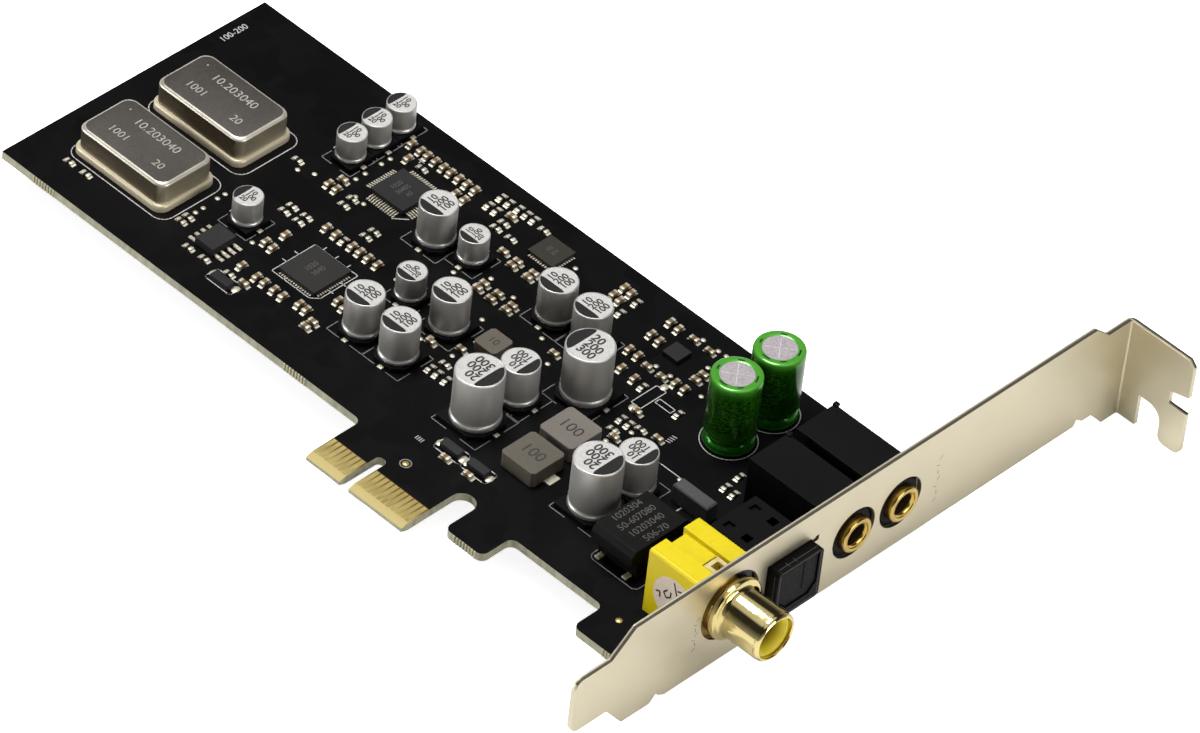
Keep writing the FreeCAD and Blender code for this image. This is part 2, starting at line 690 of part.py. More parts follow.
def phono():
    inner = s.face_out - s.plate
    x0 = inner - s.phono_long
    y0 = s.phono_mid - s.phono_wide / 2
    roof = top + s.phono_high
    body = box("phono_block", x0, y0, top, s.phono_long, s.phono_wide, s.phono_high)
    boss = rod("phono_boss", inner, s.phono_mid, s.phono_axis, s.phono_hole_rad - s.phono_boss_room,
               s.plate + s.phono_flange_out - s.phono_flange_thick, "x")
    groove = box("phono_groove", x0 - 1, s.phono_mid - s.phono_groove_wide / 2, roof - s.phono_groove_deep,
                 s.phono_long + 2, s.phono_groove_wide, s.phono_groove_deep + 1)
    bite = box("phono_bite", x0 - 1, s.phono_mid - s.phono_groove_wide / 2, roof - s.phono_bite_deep,
               s.phono_bite_long + 1, s.phono_groove_wide, s.phono_bite_deep + 1)
    hook_x = inner - s.phono_hook_long - s.phono_hook_in
    room = s.phono_hook_room
    pit = box("phono_pit", hook_x, s.phono_mid - s.phono_hook_wide / 2 - room,
              roof - s.phono_pit_deep, s.phono_hook_long, s.phono_hook_wide + room * 2, s.phono_pit_deep + 1)
    bore = rod("phono_bore", inner - s.phono_tail, s.phono_mid, s.phono_axis, s.phono_tube_rad,
               s.phono_tail * 2, "x")
    shell = cut("phono_shell", fuse("phono_solid", [body, boss]), [groove, bite, pit, bore])

    def rear_edges(b, e):
        return near(b.ZMin, roof.amount) and near(b.ZLength, 0) and b.XLength > 5 \
            and (near(b.YMin, y0.amount) or near(b.YMin, (y0 + s.phono_wide).amount))

    node(edged("Fillet", "phono_round", shell, s.phono_ridge_round, rear_edges), "phono_housing")

    start = s.face_out + s.phono_flange_out - s.phono_flange_thick
    flange = rod("barrel_flange", start, s.phono_mid, s.phono_axis, s.phono_flange_rad, s.phono_flange_thick, "x")
    collar = cone("barrel_collar", s.face_out + s.phono_flange_out, s.phono_mid, s.phono_axis,
                  s.phono_collar_rad, s.phono_rad, s.phono_collar_out - s.phono_flange_out, "x")
    tube = rod("barrel_tube", s.face_out + s.phono_collar_out, s.phono_mid, s.phono_axis, s.phono_rad,
               s.phono_out - s.phono_collar_out, "x")
    hollow = rod("barrel_hollow", start - 1, s.phono_mid, s.phono_axis, s.phono_bore_rad, s.phono_out + 3, "x")
    barrel = cut("barrel_cut", fuse("barrel_solid", [flange, collar, tube]), [hollow])

    def rim(b, e):
        front = near(b.XMin, (s.face_out + s.phono_out).amount) and b.YLength > s.phono_rad.amount * 1.9
        ring = near(b.XMin, (s.face_out + s.phono_flange_out).amount) and b.YLength > s.phono_flange_rad.amount * 1.9
        return near(b.XLength, 0) and (front or ring)

    node(edged("Chamfer", "barrel_edge", barrel, s.phono_rim_round, rim), "phono_barrel")

    mouth = s.face_out + s.phono_out - s.phono_face_in
    tube_end = mouth - s.phono_tube_in
    plug = rod("insulator_rod", start, s.phono_mid, s.phono_axis, s.phono_bore_rad, mouth - start, "x")
    seat = rod("insulator_seat", start - 1, s.phono_mid, s.phono_axis, s.phono_tube_rad, tube_end - start + 1, "x")
    eye = rod("insulator_eye", start - 1, s.phono_mid, s.phono_axis, s.phono_pin_rad, s.phono_out + 3, "x")
    node(cut("insulator_ring", plug, [seat, eye]), "phono_insulator")

    rear = inner - s.phono_tail
    tube = rod("contact_rod", rear, s.phono_mid, s.phono_axis, s.phono_tube_rad, tube_end - rear, "x")
    eye = rod("contact_eye", rear + s.phono_blind, s.phono_mid, s.phono_axis, s.phono_pin_rad,
              tube_end - rear, "x")
    node(cut("contact_tube", tube, [eye]), "phono_centre_contact")

    hook_y = s.phono_mid - s.phono_hook_wide / 2
    thick = s.phono_hook_thick
    foot_x = hook_x + s.phono_hook_foot
    arm = s.phono_hook_arm
    crest = roof - s.phono_hook_sunk
    plate_low = box("hook_foot", foot_x, hook_y, roof - s.phono_pit_deep, thick, s.phono_hook_wide,
                    crest - roof + s.phono_pit_deep)
    plate_top = box("hook_top", foot_x, hook_y, crest - thick, s.phono_hook_long - s.phono_hook_foot,
                    s.phono_hook_wide, thick)
    gap = box("hook_gap", foot_x + arm, hook_y + arm, crest - thick * 2, s.phono_hook_long,
              s.phono_hook_wide - arm * 2, thick * 4)
    node(cut("hook_cut", fuse("hook_solid", [plate_low, plate_top]), [gap]), "phono_earth_clip")


# Optical socket with its spring door

def optical():
    inner = s.face_out - s.plate
    y0 = optic_mid - s.optic_wide / 2
    front = s.face_out + s.optic_out
    rear = inner - s.optic_long
    body = box("optic_block", rear, y0, top, s.optic_long, s.optic_wide, s.optic_high - top)
    nose = box("optic_nose", inner - 0.2, y0, s.optic_low, front - inner + 0.2, s.optic_wide,
               s.optic_high - s.optic_low)

    def nose_edges(b, e):
        return b.XLength > 2 and near(b.YLength, 0) and near(b.ZLength, 0)

    nose = edged("Fillet", "optic_nose_round", nose, s.optic_round, nose_edges)
    half = s.port_wide / 2
    port = doc.addObject("PartDesign::Body", "port_body")
    sketch = outline(port, "port_outline", "YZ_Plane", [[
        (optic_mid - half + s.port_clip, s.port_low),
        (optic_mid + half - s.port_clip, s.port_low),
        (optic_mid + half, s.port_low + s.port_clip),
        (optic_mid + half, s.port_high),
        (optic_mid - half, s.port_high),
        (optic_mid - half, s.port_low + s.port_clip),
    ]], front + 1)
    grow(port, "Pad", "port_pad", sketch, s.port_deep + 1, True)
    hinge_z = s.port_high - s.door_hinge_drop
    hinge_x = front - s.door_in - s.door_thick / 2
    holes = rod("hinge_holes", hinge_x, optic_mid - half - s.door_pin_long, hinge_z,
                s.door_pin_rad + s.door_pin_gap, s.port_wide + 2 * s.door_pin_long, "y")
    windows = []
    pit = s.optic_pit
    for k in range(4):
        x = rear + s.optic_pit_back + s.optic_pit_step * (k % 2) - pit / 2
        y = optic_mid + s.optic_pit_half * (1 if k < 2 else -1) - pit / 2
        windows.append(box("optic_pit_%d" % k, x, y, s.optic_high - s.optic_pit_deep, pit, pit, 1))
    shell = cut("optic_shell", fuse("optic_solid", [body, nose]), [port, holes] + windows)
    node(shell, "optical_housing")

    gap = s.door_gap
    door = doc.addObject("PartDesign::Body", "door_body")
    wide = half - gap
    low = s.port_low + gap
    clip = s.port_clip
    sketch = outline(door, "door_outline", "YZ_Plane", [[
        (optic_mid - wide + clip, low),
        (optic_mid + wide - clip, low),
        (optic_mid + wide, low + clip),
        (optic_mid + wide, hinge_z),
        (optic_mid - wide, hinge_z),
        (optic_mid - wide, low + clip),
    ]], front - s.door_in)
    grow(door, "Pad", "door_pad", sketch, s.door_thick, True)
    knuckle = rod("door_knuckle", hinge_x, optic_mid - wide, hinge_z, s.door_thick / 2, 2 * wide, "y")
    pins = rod("door_pins", hinge_x, optic_mid - half - s.door_pin_long + 0.1, hinge_z,
               s.door_pin_rad, s.port_wide + 2 * s.door_pin_long - 0.2, "y")
    rib = box("door_rib", front - s.door_in - s.door_rib_deep, optic_mid + s.door_rib_side, low + clip,
              s.door_rib_deep * 2, s.door_rib_wide, s.door_thick * 8)
    node(fuse("door_solid", [door, knuckle, pins, rib]), "optical_door")


# Round audio sockets

def jack(name, mid):
    inner = s.face_out - s.plate
    rear = inner - s.jack_long
    block_ = box(name + "_block", rear, mid - s.jack_wide / 2, top, s.jack_long, s.jack_wide, s.jack_high)
    boss = rod(name + "_boss", inner - 0.2, mid, s.jack_axis, s.jack_boss_rad,
               0.2 + s.plate - s.jack_boss_in + 0.4, "x")
    seat_start = s.face_out + s.bush_out - s.bush_long
    seat = rod(name + "_seat", seat_start, mid, s.jack_axis, s.bush_rad, s.bush_long + 2, "x")
    bore_rad = s.bush_bore_rad + s.jack_bore_more
    bore = rod(name + "_bore", s.face_out + s.bush_out - s.jack_bore_deep, mid, s.jack_axis,
               bore_rad, s.jack_bore_deep + 1, "x")
    room = s.spring_room
    bed = box(name + "_bed", seat_start - s.spring_long - 2 * room, mid - s.spring_wide / 2 - room,
              s.jack_axis - bore_rad - s.spring_deep - room, s.spring_long + 2 * room,
              s.spring_wide + 2 * room, s.spring_deep + bore_rad)
    lip = box(name + "_lip", rear, mid + s.jack_wide / 2 - s.jack_lip + s.jack_lip_over, top + s.jack_high,
              s.jack_lip, s.jack_lip, s.jack_lip_high)
    shell = cut(name + "_shell", fuse(name + "_solid", [block_, boss, lip]), [seat, bore, bed])
    node(shell, name + "_housing")
    bush = rod(name + "_bush_rod", seat_start, mid, s.jack_axis, s.bush_rad, s.bush_long, "x")
    eye = rod(name + "_bush_eye", seat_start - 1, mid, s.jack_axis, s.bush_bore_rad, s.bush_long + 2, "x")
    ring = cut(name + "_bush_ring", bush, [eye])

    def rim(b, e):
        return near(b.XMin, (s.face_out + s.bush_out).amount) and near(b.XLength, 0)

    node(edged("Chamfer", name + "_bush_edge", ring, s.bush_edge, rim), name + "_bush")


def jack_contacts():
    """A spring tongue low in each bore, behind the bush."""
    shapes = []
    bore_rad = (s.bush_bore_rad + s.jack_bore_more).amount
    deep = s.spring_deep.amount
    for mid in (jack_near.amount, jack_far.amount):
        x = (s.face_out + s.bush_out - s.bush_long - s.spring_long / 2 - s.spring_room).amount
        low = s.jack_axis.amount - bore_rad - deep
        shapes.append(block(x, mid, low, s.spring_long.amount, s.spring_wide.amount, deep + s.spring_high.amount))
    return group("jack_contacts", shapes)


# Oscillator cans

def oscillator(name, mid):
    base = doc.addObject("PartDesign::Body", name + "_body")
    centre = s.face_out - s.can_from_face

    def ring(grown):
        x = s.can_long / 2 + grown
        y = s.can_wide / 2 + grown
        return [
            (centre - x, mid - y),
            (centre + x, mid - y),
            (centre + x, mid + y),
            (centre - x, mid + y),
        ]

    rim = outline(base, name + "_rim", "XY_Plane", [ring(s.can_rim)], top)
    low = grow(base, "Pad", name + "_rim_pad", rim, s.can_rim_thick)
    cap = outline(base, name + "_cap", "XY_Plane", [ring(sized(0))], top + s.can_rim_thick)
    high = grow(base, "Pad", name + "_cap_pad", cap, s.can_high - s.can_rim_thick)

    def posts(b, e):
        return upright(b)

    soft = dress(base, "Fillet", name + "_corners", high, s.can_round, posts)

    def crown(b, e):
        return near(b.ZMin, (top + s.can_high).amount) and near(b.ZLength, 0)

    dress(base, "Chamfer", name + "_crown", soft, s.can_edge, crown)

    return node(base, name)


# Places on the board are given as x from the bracket's outer face and y from the
# tongue's lower edge.

# Surface-mounted capacitors, with the side of the dark half-moon
SMALL_CAPS = [
    (-111.3, 62.4, "left"), (-111.2, 57.0, "left"), (-111.15, 51.6, "left"), (-110.7, 29.1, "left"),
    (-82.4, 49.6, "low"), (-82.45, 36.3, "low"),
]
MID_CAPS = [
    (-89.2, 48.4, "low"), (-81.7, 25.5, "low"), (-74, 25.5, "low"), (-73.8, 36.0, "low"),
    (-65, 50.0, "low"), (-57.6, 50.0, "low"), (-55.9, 32.8, "right"), (-30.7, 32.3, "right"),
]
LARGE_CAPS = [(-49.9, 41.2, "left"), (-56.6, 24.6, "right"), (-31.7, 24.55, "right")]
MARK_TURN = {"right": 0, "left": 180, "low": -90}


def can_caps(prefix, places, radius, high):
    r = radius.amount
    low = top.amount + s.cap_base_high.amount
    rise = high.amount - s.cap_base_high.amount
    side = r + s.cap_base_over.amount
    clip = side * 0.45
    lead = s.cap_lead_long.amount
    cans = []
    bases = []
    leads = []
    for x, y, mark in places:
        at = Placement(Vector(face_x + x, y, 0), Rotation(Vector(0, 0, 1), MARK_TURN[mark]))
        can = Part.makeCylinder(r, rise, Vector(0, 0, low))
        can.Placement = at
        cans.append(can)
        ring = [
            (side, side), (-side + clip, side), (-side, side - clip),
            (-side, -side + clip), (-side + clip, -side), (side, -side), (side, side),
        ]
        base = Part.Face(Part.makePolygon([Vector(-a, b, top.amount) for a, b in ring]))
        base = base.extrude(Vector(0, 0, s.cap_base_high.amount))
        base.Placement = at
        bases.append(base)
        for way in (-1, 1):
            foot = block(way * (side + lead / 2), 0, top.amount, lead, s.cap_lead_wide.amount,
                         s.cap_lead_thick.amount)
            foot.Placement = at
            leads.append(foot)
    group(prefix + "_capacitor_cans", cans)
    group(prefix + "_capacitor_bases", bases)
    return leads


# Tall capacitors
TALL_CAPS = [(-29.1, 50.8), (-29, 59.9)]


def tall_caps():
    r = s.tall_cap_rad.amount
    high = s.tall_cap_high.amount
    neck = s.tall_cap_neck.amount
    dip = s.tall_cap_neck_deep.amount
    edge = s.tall_cap_edge.amount
    lip = s.tall_cap_lip.amount
    half = s.tall_cap_neck_half.amount
    floor = high - s.tall_cap_top_in.amount
    sleeves = []
    tops = []
    for x, y in TALL_CAPS:
        profile = [
            (0, 0), (r, 0), (r, neck - half), (r - dip, neck), (r, neck + half),
            (r, high - edge), (r - lip, high), (r - lip, floor), (0, floor), (0, 0),
        ]
        face = Part.Face(Part.makePolygon([Vector(a, 0, b) for a, b in profile]))
        sleeve = face.revolve(Vector(0, 0, 0), Vector(0, 0, 1), 360)
        sleeve.translate(Vector(face_x + x, y, top.amount))
        sleeves.append(sleeve)
        tops.append(Part.makeCylinder(r - lip, (high - floor) * 0.7, Vector(face_x + x, y, top.amount + floor)))
    group("tall_capacitor_sleeves", sleeves)
    group("tall_capacitor_tops", tops)


# Inductors: name, x, y, width, height
COILS = [
    ("power_inductor", -44, 24.0, s.coil_wide, s.coil_high),
    ("filter_inductor", -44.2, 32.2, s.coil_wide, s.coil_high),
    ("small_inductor", -65.8, 37.5, s.coil_small_wide, s.coil_small_high),
]


def coils():
    ends = []
    for name, x, y, wide, high in COILS:
        middle = s.face_out + x
        body = box(name + "_block", middle - wide / 2, y - wide / 2, top, wide, wide, high)

        def posts(b, e):
            return upright(b)

        node(edged("Chamfer", name + "_cut", body, s.coil_edge, posts), name)
        for way in (-1, 1):
            out = s.coil_end_out.amount * (wide / s.coil_wide).amount
            ends.append(block(face_x + x + way * (wide.amount + out) / 2, y, top.amount, out,
                              s.coil_end.amount, s.coil_end_thick.amount))
    return ends


# Transformer and film block

def trafo():
    x0 = s.face_out - s.trafo_from_face
    y0 = s.trafo_from_low
    low = box("trafo_low", x0 + s.trafo_side, y0 + s.trafo_ledge, top, s.trafo_wide - s.trafo_side * 2,
              s.trafo_deep - s.trafo_ledge * 2, s.trafo_step)
    lid = box("trafo_lid", x0, y0, top + s.trafo_step, s.trafo_wide, s.trafo_deep,
              s.trafo_high - s.trafo_step)
    shell = fuse("trafo_solid", [low, lid])

    def ends(b, e):
        return near(b.ZMin, (top + s.trafo_high).amount) and near(b.ZLength, 0) and near(b.YLength, 0)

    node(edged("Chamfer", "trafo_slopes", shell, s.trafo_slope, ends), "signal_transformer")
    feet = []
    for x in (x0 + s.trafo_foot_in, x0 + s.trafo_wide - s.trafo_foot_in):
        for y, way in ((y0 + s.trafo_ledge, -1), (y0 + s.trafo_deep - s.trafo_ledge, 1)):
            feet.append(block(x.amount, (y + s.trafo_foot_long * way / 2).amount, top.amount,
                              s.trafo_foot.amount, s.trafo_foot_long.amount, s.coil_end_thick.amount))
    film = box("film_block", s.face_out - s.film_from_face, s.film_from_low, top,
               s.film_wide, s.film_deep, s.film_high)

    def film_edges(b, e):
        return near(b.ZMin, (top + s.film_high).amount) and near(b.ZLength, 0)

    node(edged("Chamfer", "film_edges", film, s.trafo_side, film_edges), "film_capacitor")
    return feet


# Chips: name, x, y, width, depth, height above the leads
CHIPS = [
    ("flat_pack_chip", -99.9, 51.9, 7.1, 7.1, 1.1),
    ("bus_chip", -95.6, 29.0, 7.8, 7.9, 0.9),
    ("converter_chip", -75.5, 59.8, 5.3, 5.2, 0.8),
    ("eight_lead_chip", -110.1, 22.0, 3.9, 5.0, 1.5),
    ("amplifier_chip", -47.2, 58.2, 3.2, 3.2, 0.85),
]


def chips():
    legs = []
    for name, x, y, wide, deep, high in CHIPS:
        body = box(name + "_block", s.face_out + x - wide / 2, y - deep / 2, top + s.chip_off, wide, deep,
                   high - s.chip_off)
        node(body, name)
    x, y, wide = CHIPS[0][1:4]
    pitch = s.leg_pitch.amount
    thin = s.leg_wide.amount
    reach = s.leg_long.amount
    thick = s.leg_thick.amount
    out = (wide + reach) / 2
    for k in range(12):
        along = (k - 5.5) * pitch
        for way in (-1, 1):
            legs.append(block(face_x + x + along, y + way * out, top.amount, thin, reach, thick))
            legs.append(block(face_x + x + way * out, y + along, top.amount, reach, thin, thick))
    x, y, wide = CHIPS[3][1:4]
    out = (wide + reach) / 2
    for k in range(4):
        along = (k - 1.5) * s.big_leg_pitch.amount
        for way in (-1, 1):
            legs.append(block(face_x + x + way * out, y + along, top.amount, reach, s.big_leg_wide.amount, thick))
    return legs


# Small components: x, y, direction of the silver ends, kind
CERAMICS_UP = [
    (-105.1, 60.9), (-103.6, 60.9), (-101.9, 60.9), (-100.1, 60.9), (-98.5, 60.9), (-96.7, 60.9), (-95, 60.9),
    (-93.2, 60.9), (-105.1, 58.1), (-107.2, 61.0), (-94.6, 58.0), (-92.7, 58.0), (-108.7, 44.6), (-107, 44.6),
    (-101.6, 37.3), (-99.5, 37.3), (-96, 37.3), (-94.3, 37.3), (-92.5, 37.3), (-90.5, 37.3),
    (-104.4, 31.3), (-105.2, 27.9), (-103.5, 27.7), (-88.5, 27.1), (-86.8, 26.6),
    (-103.6, 21.3), (-100.3, 21.3), (-98.6, 21.3), (-96.5, 21.3), (-94.6, 21.3), (-91.7, 22.0), (-90.1, 21.9),
    (-62.7, 62.7), (-61.1, 62.5), (-62.7, 60.3), (-61.1, 60.0), (-52.7, 62.5), (-50.8, 62.3), (-52.7, 58.3), (-50.8, 58.1),
    (-52.5, 53.3), (-50.6, 53.3), (-42.7, 53.3), (-40.8, 53.3), (-47.4, 49.2), (-50.3, 49.4),
]
CERAMICS_ACROSS = [
    (-87.5, 20.8), (-87.5, 19.2), (-100.5, 18.8), (-85.3, 61.0), (-80.3, 54.3), (-77.3, 54.3), (-77.3, 53.0),
    (-73.8, 54.3), (-73.8, 53.0), (-77, 46.9), (-77, 45.4), (-74, 46.9), (-74, 45.2), (-73, 31.4),
    (-70.7, 46.6), (-70.7, 45.2), (-59.1, 43.9), (-47.7, 62.5), (-44.3, 62.4), (-41.2, 57.9), (-41.2, 56.2),
    (-48, 52.7), (-45, 52.7), (-35.8, 42.5), (-40.3, 37.7), (-53.3, 15.1), (-48.5, 15.1), (-68.8, 33.8),
    (-42, 44.3), (-107.9, 47.0),
]
RESISTORS_UP = [
    (-89.5, 63.0), (-87.8, 63.0), (-85.9, 63.2), (-84.2, 63.2), (-82.6, 63.2), (-89.5, 60.2), (-87.8, 60.2),
    (-59.2, 61.8), (-59.2, 58.2), (-45.4, 49.0), (-37.7, 48.8), (-42.5, 41.5), (-40.9, 41.5), (-68.9, 27.3), (-67.3, 27.3),
    (-65.4, 27.3), (-97.9, 37.3), (-22.2, 46.0), (-22, 42.8), (-20.1, 42.6),
]
RESISTORS_ACROSS = [
    (-102.2, 58.3), (-103.9, 45.1), (-103.8, 43.1), (-96.4, 42.4), (-96.4, 40.6), (-108.6, 36.8), (-105.5, 36.8),
    (-108.6, 35.1), (-105.5, 35.1), (-103.6, 18.7), (-108.5, 18.2), (-111.9, 18.1), (-80, 62.7), (-85.1, 59.1),
    (-85.1, 57.4), (-81.9, 57.4), (-39, 42.1), (-41.7, 38.9), (-68.1, 29.7), (-115.8, 44.9), (-137.9, 17.6),
    (-134.2, 17.6), (-117, 22.9), (-117, 21.4),
]
DIODES = [(-54, 17.2), (-48.4, 17.2), (-103, 16.6)]


def small_parts():
    """Chip components, each one solid with its fired metal ends."""
    long_ = s.chip_long.amount
    wide = s.chip_wide.amount
    for label, high, up, across in (
        ("ceramic_capacitors", s.ceramic_high.amount, CERAMICS_UP, CERAMICS_ACROSS),
        ("chip_resistors", s.resistor_high.amount, RESISTORS_UP, RESISTORS_ACROSS),
    ):
        pieces = [block(face_x + x, y, top.amount, wide, long_, high) for x, y in up]
        pieces += [block(face_x + x, y, top.amount, long_, wide, high) for x, y in across]
        group(label, pieces)
    diodes = []
    for x, y in DIODES:
        diodes.append(block(face_x + x, y, top.amount, s.diode_long.amount, s.diode_wide.amount, s.diode_high.amount))
    return group("power_diodes", diodes)


# Lead ends under the board
LEADS = [
    (-30.8, 50.8), (-27.4, 50.8), (-30.7, 59.9), (-27.3, 59.9),
    (-10.3, 20.05), (-3.8, 17.0), (-3.8, 23.1), (-9.1, 30.0), (-9.1, 35.4), (-6.5, 32.7),
    (-16.3, 44.0), (-16.3, 49.2), (-7.3, 46.6), (-16.3, 54.2), (-16.3, 59.4), (-7.3, 56.8),
    (-137.7, 22.1), (-122.4, 22.1), (-137.7, 29.7), (-122.4, 29.7),
    (-137.7, 38.4), (-122.4, 38.4), (-137.7, 46.0), (-122.4, 46.0),
]


def lead_ends():
    wide = s.lead_wide.amount
    out = s.lead_out.amount
    return group("lead_ends", [block(face_x + x, y, under.amount - out, wide, wide, out) for x, y in LEADS])


# Putting the card together
board()
contacts()
bracket()
ear_fasteners()
phono()
optical()
jack("near_jack", jack_near)
jack("far_jack", jack_far)
jack_contacts()
oscillator("lower_oscillator", s.can_low_mid)
oscillator("upper_oscillator", s.can_high_mid)
metal = []
metal += can_caps("small", SMALL_CAPS, s.small_cap_rad, s.small_cap_high)
metal += can_caps("medium", MID_CAPS, s.mid_cap_rad, s.mid_cap_high)
metal += can_caps("large", LARGE_CAPS, s.large_cap_rad, s.large_cap_high)
tall_caps()
metal += coils()
metal += trafo()
metal += chips()
group("silver_terminals", metal)
small_parts()
lead_ends()
doc.recompute()

# Every object is sound before anything is written
for obj in doc.Objects:
    if "Invalid" in obj.State or "Error" in obj.State:
        raise RuntimeError("not sound: " + obj.Name)
os.makedirs("parts", exist_ok=True)
for obj in NODES:
    shape = obj.Shape
    if shape.isNull() or not shape.isValid() or not shape.Solids:
        raise RuntimeError("bad shape: " + obj.Label)
    shape.exportStep("parts/%s.step" % obj.Label)
    b = shape.BoundBox
    print("%-26s solids %3d volume %9.2f x %7.2f %7.2f y %7.2f %7.2f z %6.2f %6.2f" % (
        obj.Label, len(shape.Solids), shape.Volume, b.XMin, b.XMax, b.YMin, b.YMax, b.ZMin, b.ZMax))
print("nodes", len(NODES))
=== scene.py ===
# %% [markdown]
# A sound card is a black circuit board full of tiny parts behind a nickel-plated
# bracket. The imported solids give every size; this lesson gives them their finish.
# The frame comes first, because each later piece is measured from it.

# %% Load the frame
import math
import random
import bmesh
import bpy
from mathutils import Matrix, Vector


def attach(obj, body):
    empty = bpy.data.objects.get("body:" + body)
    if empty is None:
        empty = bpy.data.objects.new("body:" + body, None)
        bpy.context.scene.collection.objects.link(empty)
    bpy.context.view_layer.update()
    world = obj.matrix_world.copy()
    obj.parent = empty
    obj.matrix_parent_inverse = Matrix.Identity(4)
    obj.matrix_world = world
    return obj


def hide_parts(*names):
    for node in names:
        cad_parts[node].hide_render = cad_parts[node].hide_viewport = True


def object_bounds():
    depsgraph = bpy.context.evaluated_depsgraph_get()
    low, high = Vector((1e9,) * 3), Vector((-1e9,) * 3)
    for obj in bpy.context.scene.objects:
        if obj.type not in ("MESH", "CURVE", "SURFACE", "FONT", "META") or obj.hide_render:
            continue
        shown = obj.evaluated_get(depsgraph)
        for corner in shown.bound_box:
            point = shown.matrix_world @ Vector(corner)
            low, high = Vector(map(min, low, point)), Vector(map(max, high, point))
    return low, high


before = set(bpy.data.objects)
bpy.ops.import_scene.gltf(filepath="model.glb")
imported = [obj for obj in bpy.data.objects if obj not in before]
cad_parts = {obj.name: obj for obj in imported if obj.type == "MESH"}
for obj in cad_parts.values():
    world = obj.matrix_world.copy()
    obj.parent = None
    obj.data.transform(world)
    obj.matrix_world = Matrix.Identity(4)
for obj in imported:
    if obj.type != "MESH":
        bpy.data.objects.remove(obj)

MM = 0.001
cad_low, cad_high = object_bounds()
print("solids:", len(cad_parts), "size in mm:", [round(v / MM, 1) for v in cad_high - cad_low])

# %% [markdown]
# Everything is modelled with Blender's own operators, which act on all that is
# selected. So each step starts with nothing selected, and faces and edges are
# then picked by where they are. Sizes are typed in millimetres.

# %% Selecting
def rest_hands():
    if bpy.context.object and bpy.context.object.mode != "OBJECT":
        bpy.ops.object.mode_set(mode="OBJECT")
    bpy.ops.object.select_all(action="DESELECT")


def take(*objs):
    rest_hands()
    for obj in objs:
        obj.select_set(True)
    bpy.context.view_layer.objects.active = objs[0]
    return objs[0]


def linked(name, data):
    obj = bpy.data.objects.new(name, data)
    bpy.context.scene.collection.objects.link(obj)
    return obj


def start(name, add, **where):
    rest_hands()
    add(**where)
    made = bpy.context.object
    made.name = name
    made.data.name = name
    bpy.ops.object.transform_apply(location=True, rotation=True, scale=True)
    return made


def edit(obj):
    take(obj)
    bpy.ops.object.mode_set(mode="EDIT")
    bpy.ops.mesh.select_all(action="DESELECT")


def pick(obj, kind, test):
    """Selects corners by their place, edges by both ends, or faces by middle and normal."""
    mesh = bmesh.from_edit_mesh(obj.data)
    bpy.context.tool_settings.mesh_select_mode = [kind == each for each in ("VERT", "EDGE", "FACE")]
    mesh.select_mode = {kind}
    items, read = {
        "VERT": (mesh.verts, lambda v: [v.co / MM]),
        "EDGE": (mesh.edges, lambda e: [v.co / MM for v in e.verts]),
        "FACE": (mesh.faces, lambda f: [f.calc_center_median() / MM, f.normal]),
    }[kind]
    for item in items:
        item.select_set(test(*read(item)))
    mesh.select_flush_mode()
    bmesh.update_edit_mesh(obj.data)


def moved(obj, matrix):
    obj.data.transform(matrix)
    obj.data.update()
    return obj


def shifted(x, y, z):
    return Matrix.Translation(Vector((x, y, z)) * MM)


def spun(degrees, axis="Z"):
    return Matrix.Rotation(math.radians(degrees), 4, axis)


def block(name, place, size):
    """A cube stretched to its size and put in its place."""
    cube = start(name, bpy.ops.mesh.primitive_cube_add, size=1)
    return moved(cube, place @ Matrix.Diagonal((*[v * MM for v in size], 1)))


def copy_of(obj, matrix):
    made = obj.copy()
    made.data = obj.data.copy()
    bpy.context.scene.collection.objects.link(made)
    return moved(made, matrix)


def joined(name, pieces):
    take(*pieces)
    if len(pieces) > 1:
        bpy.ops.object.join()
    made = bpy.context.object
    made.name = name
    made.data.name = name
    return made


def drop(obj):
    bpy.data.objects.remove(obj)


def coat(obj, *finishes):
    obj.data.materials.clear()
    for finish in finishes:
        obj.data.materials.append(finish)


def smooth(obj, degrees=35):
    take(obj)
    bpy.ops.object.shade_smooth_by_angle(angle=math.radians(degrees))
    return obj


# %% [markdown]
# A solid of the construction holds many separate parts in one mesh, such as all
# the ceramic chips. Their boxes are read from the loose islands of a merged copy,
# so the finish follows the construction when it changes.

# %% Islands of a node
def islands(node):
    mesh = bmesh.new()
    mesh.from_mesh(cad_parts[node].data)
    bmesh.ops.remove_doubles(mesh, verts=mesh.verts, dist=1e-7)
    left = set(mesh.verts)
    boxes = []
    while left:
        group = [left.pop()]
        for vert in group:
            for edge in vert.link_edges:
                other = edge.other_vert(vert)
                if other in left:
                    left.discard(other)
                    group.append(other)
        low = Vector([min(v.co[k] for v in group) for k in range(3)])
        high = Vector([max(v.co[k] for v in group) for k in range(3)])
        boxes.append((low / MM, high / MM))
    mesh.free()
    return sorted(boxes, key=lambda b: tuple(round(v, 3) for v in b[0]))


def middle_of(box):
    return (box[0] + box[1]) / 2


# %% [markdown]
# Shader sums are easier to read as plain expressions. One small class wraps a
# socket, and each sign between two of them adds one Math node.

# %% Shader sums
class Wire:
    def __init__(self, finish, socket):
        self.finish = finish
        self.socket = socket

    def math(self, operation, *others):
        inputs = {k: v for k, v in enumerate((self, *others))}
        return self.finish.node("Math", {"operation": operation}, inputs)

    def __add__(self, other):
        return self.math("ADD", other)

    def __rsub__(self, other):
        return self.finish.node("Math", {"operation": "SUBTRACT"}, {0: other, 1: self})

    def __mul__(self, other):
        return self.math("MULTIPLY", other)

    def __gt__(self, other):
        return self.math("GREATER_THAN", other)

    def __lt__(self, other):
        return self.math("LESS_THAN", other)

    def __abs__(self):
        return self.math("ABSOLUTE")

    __radd__ = __add__


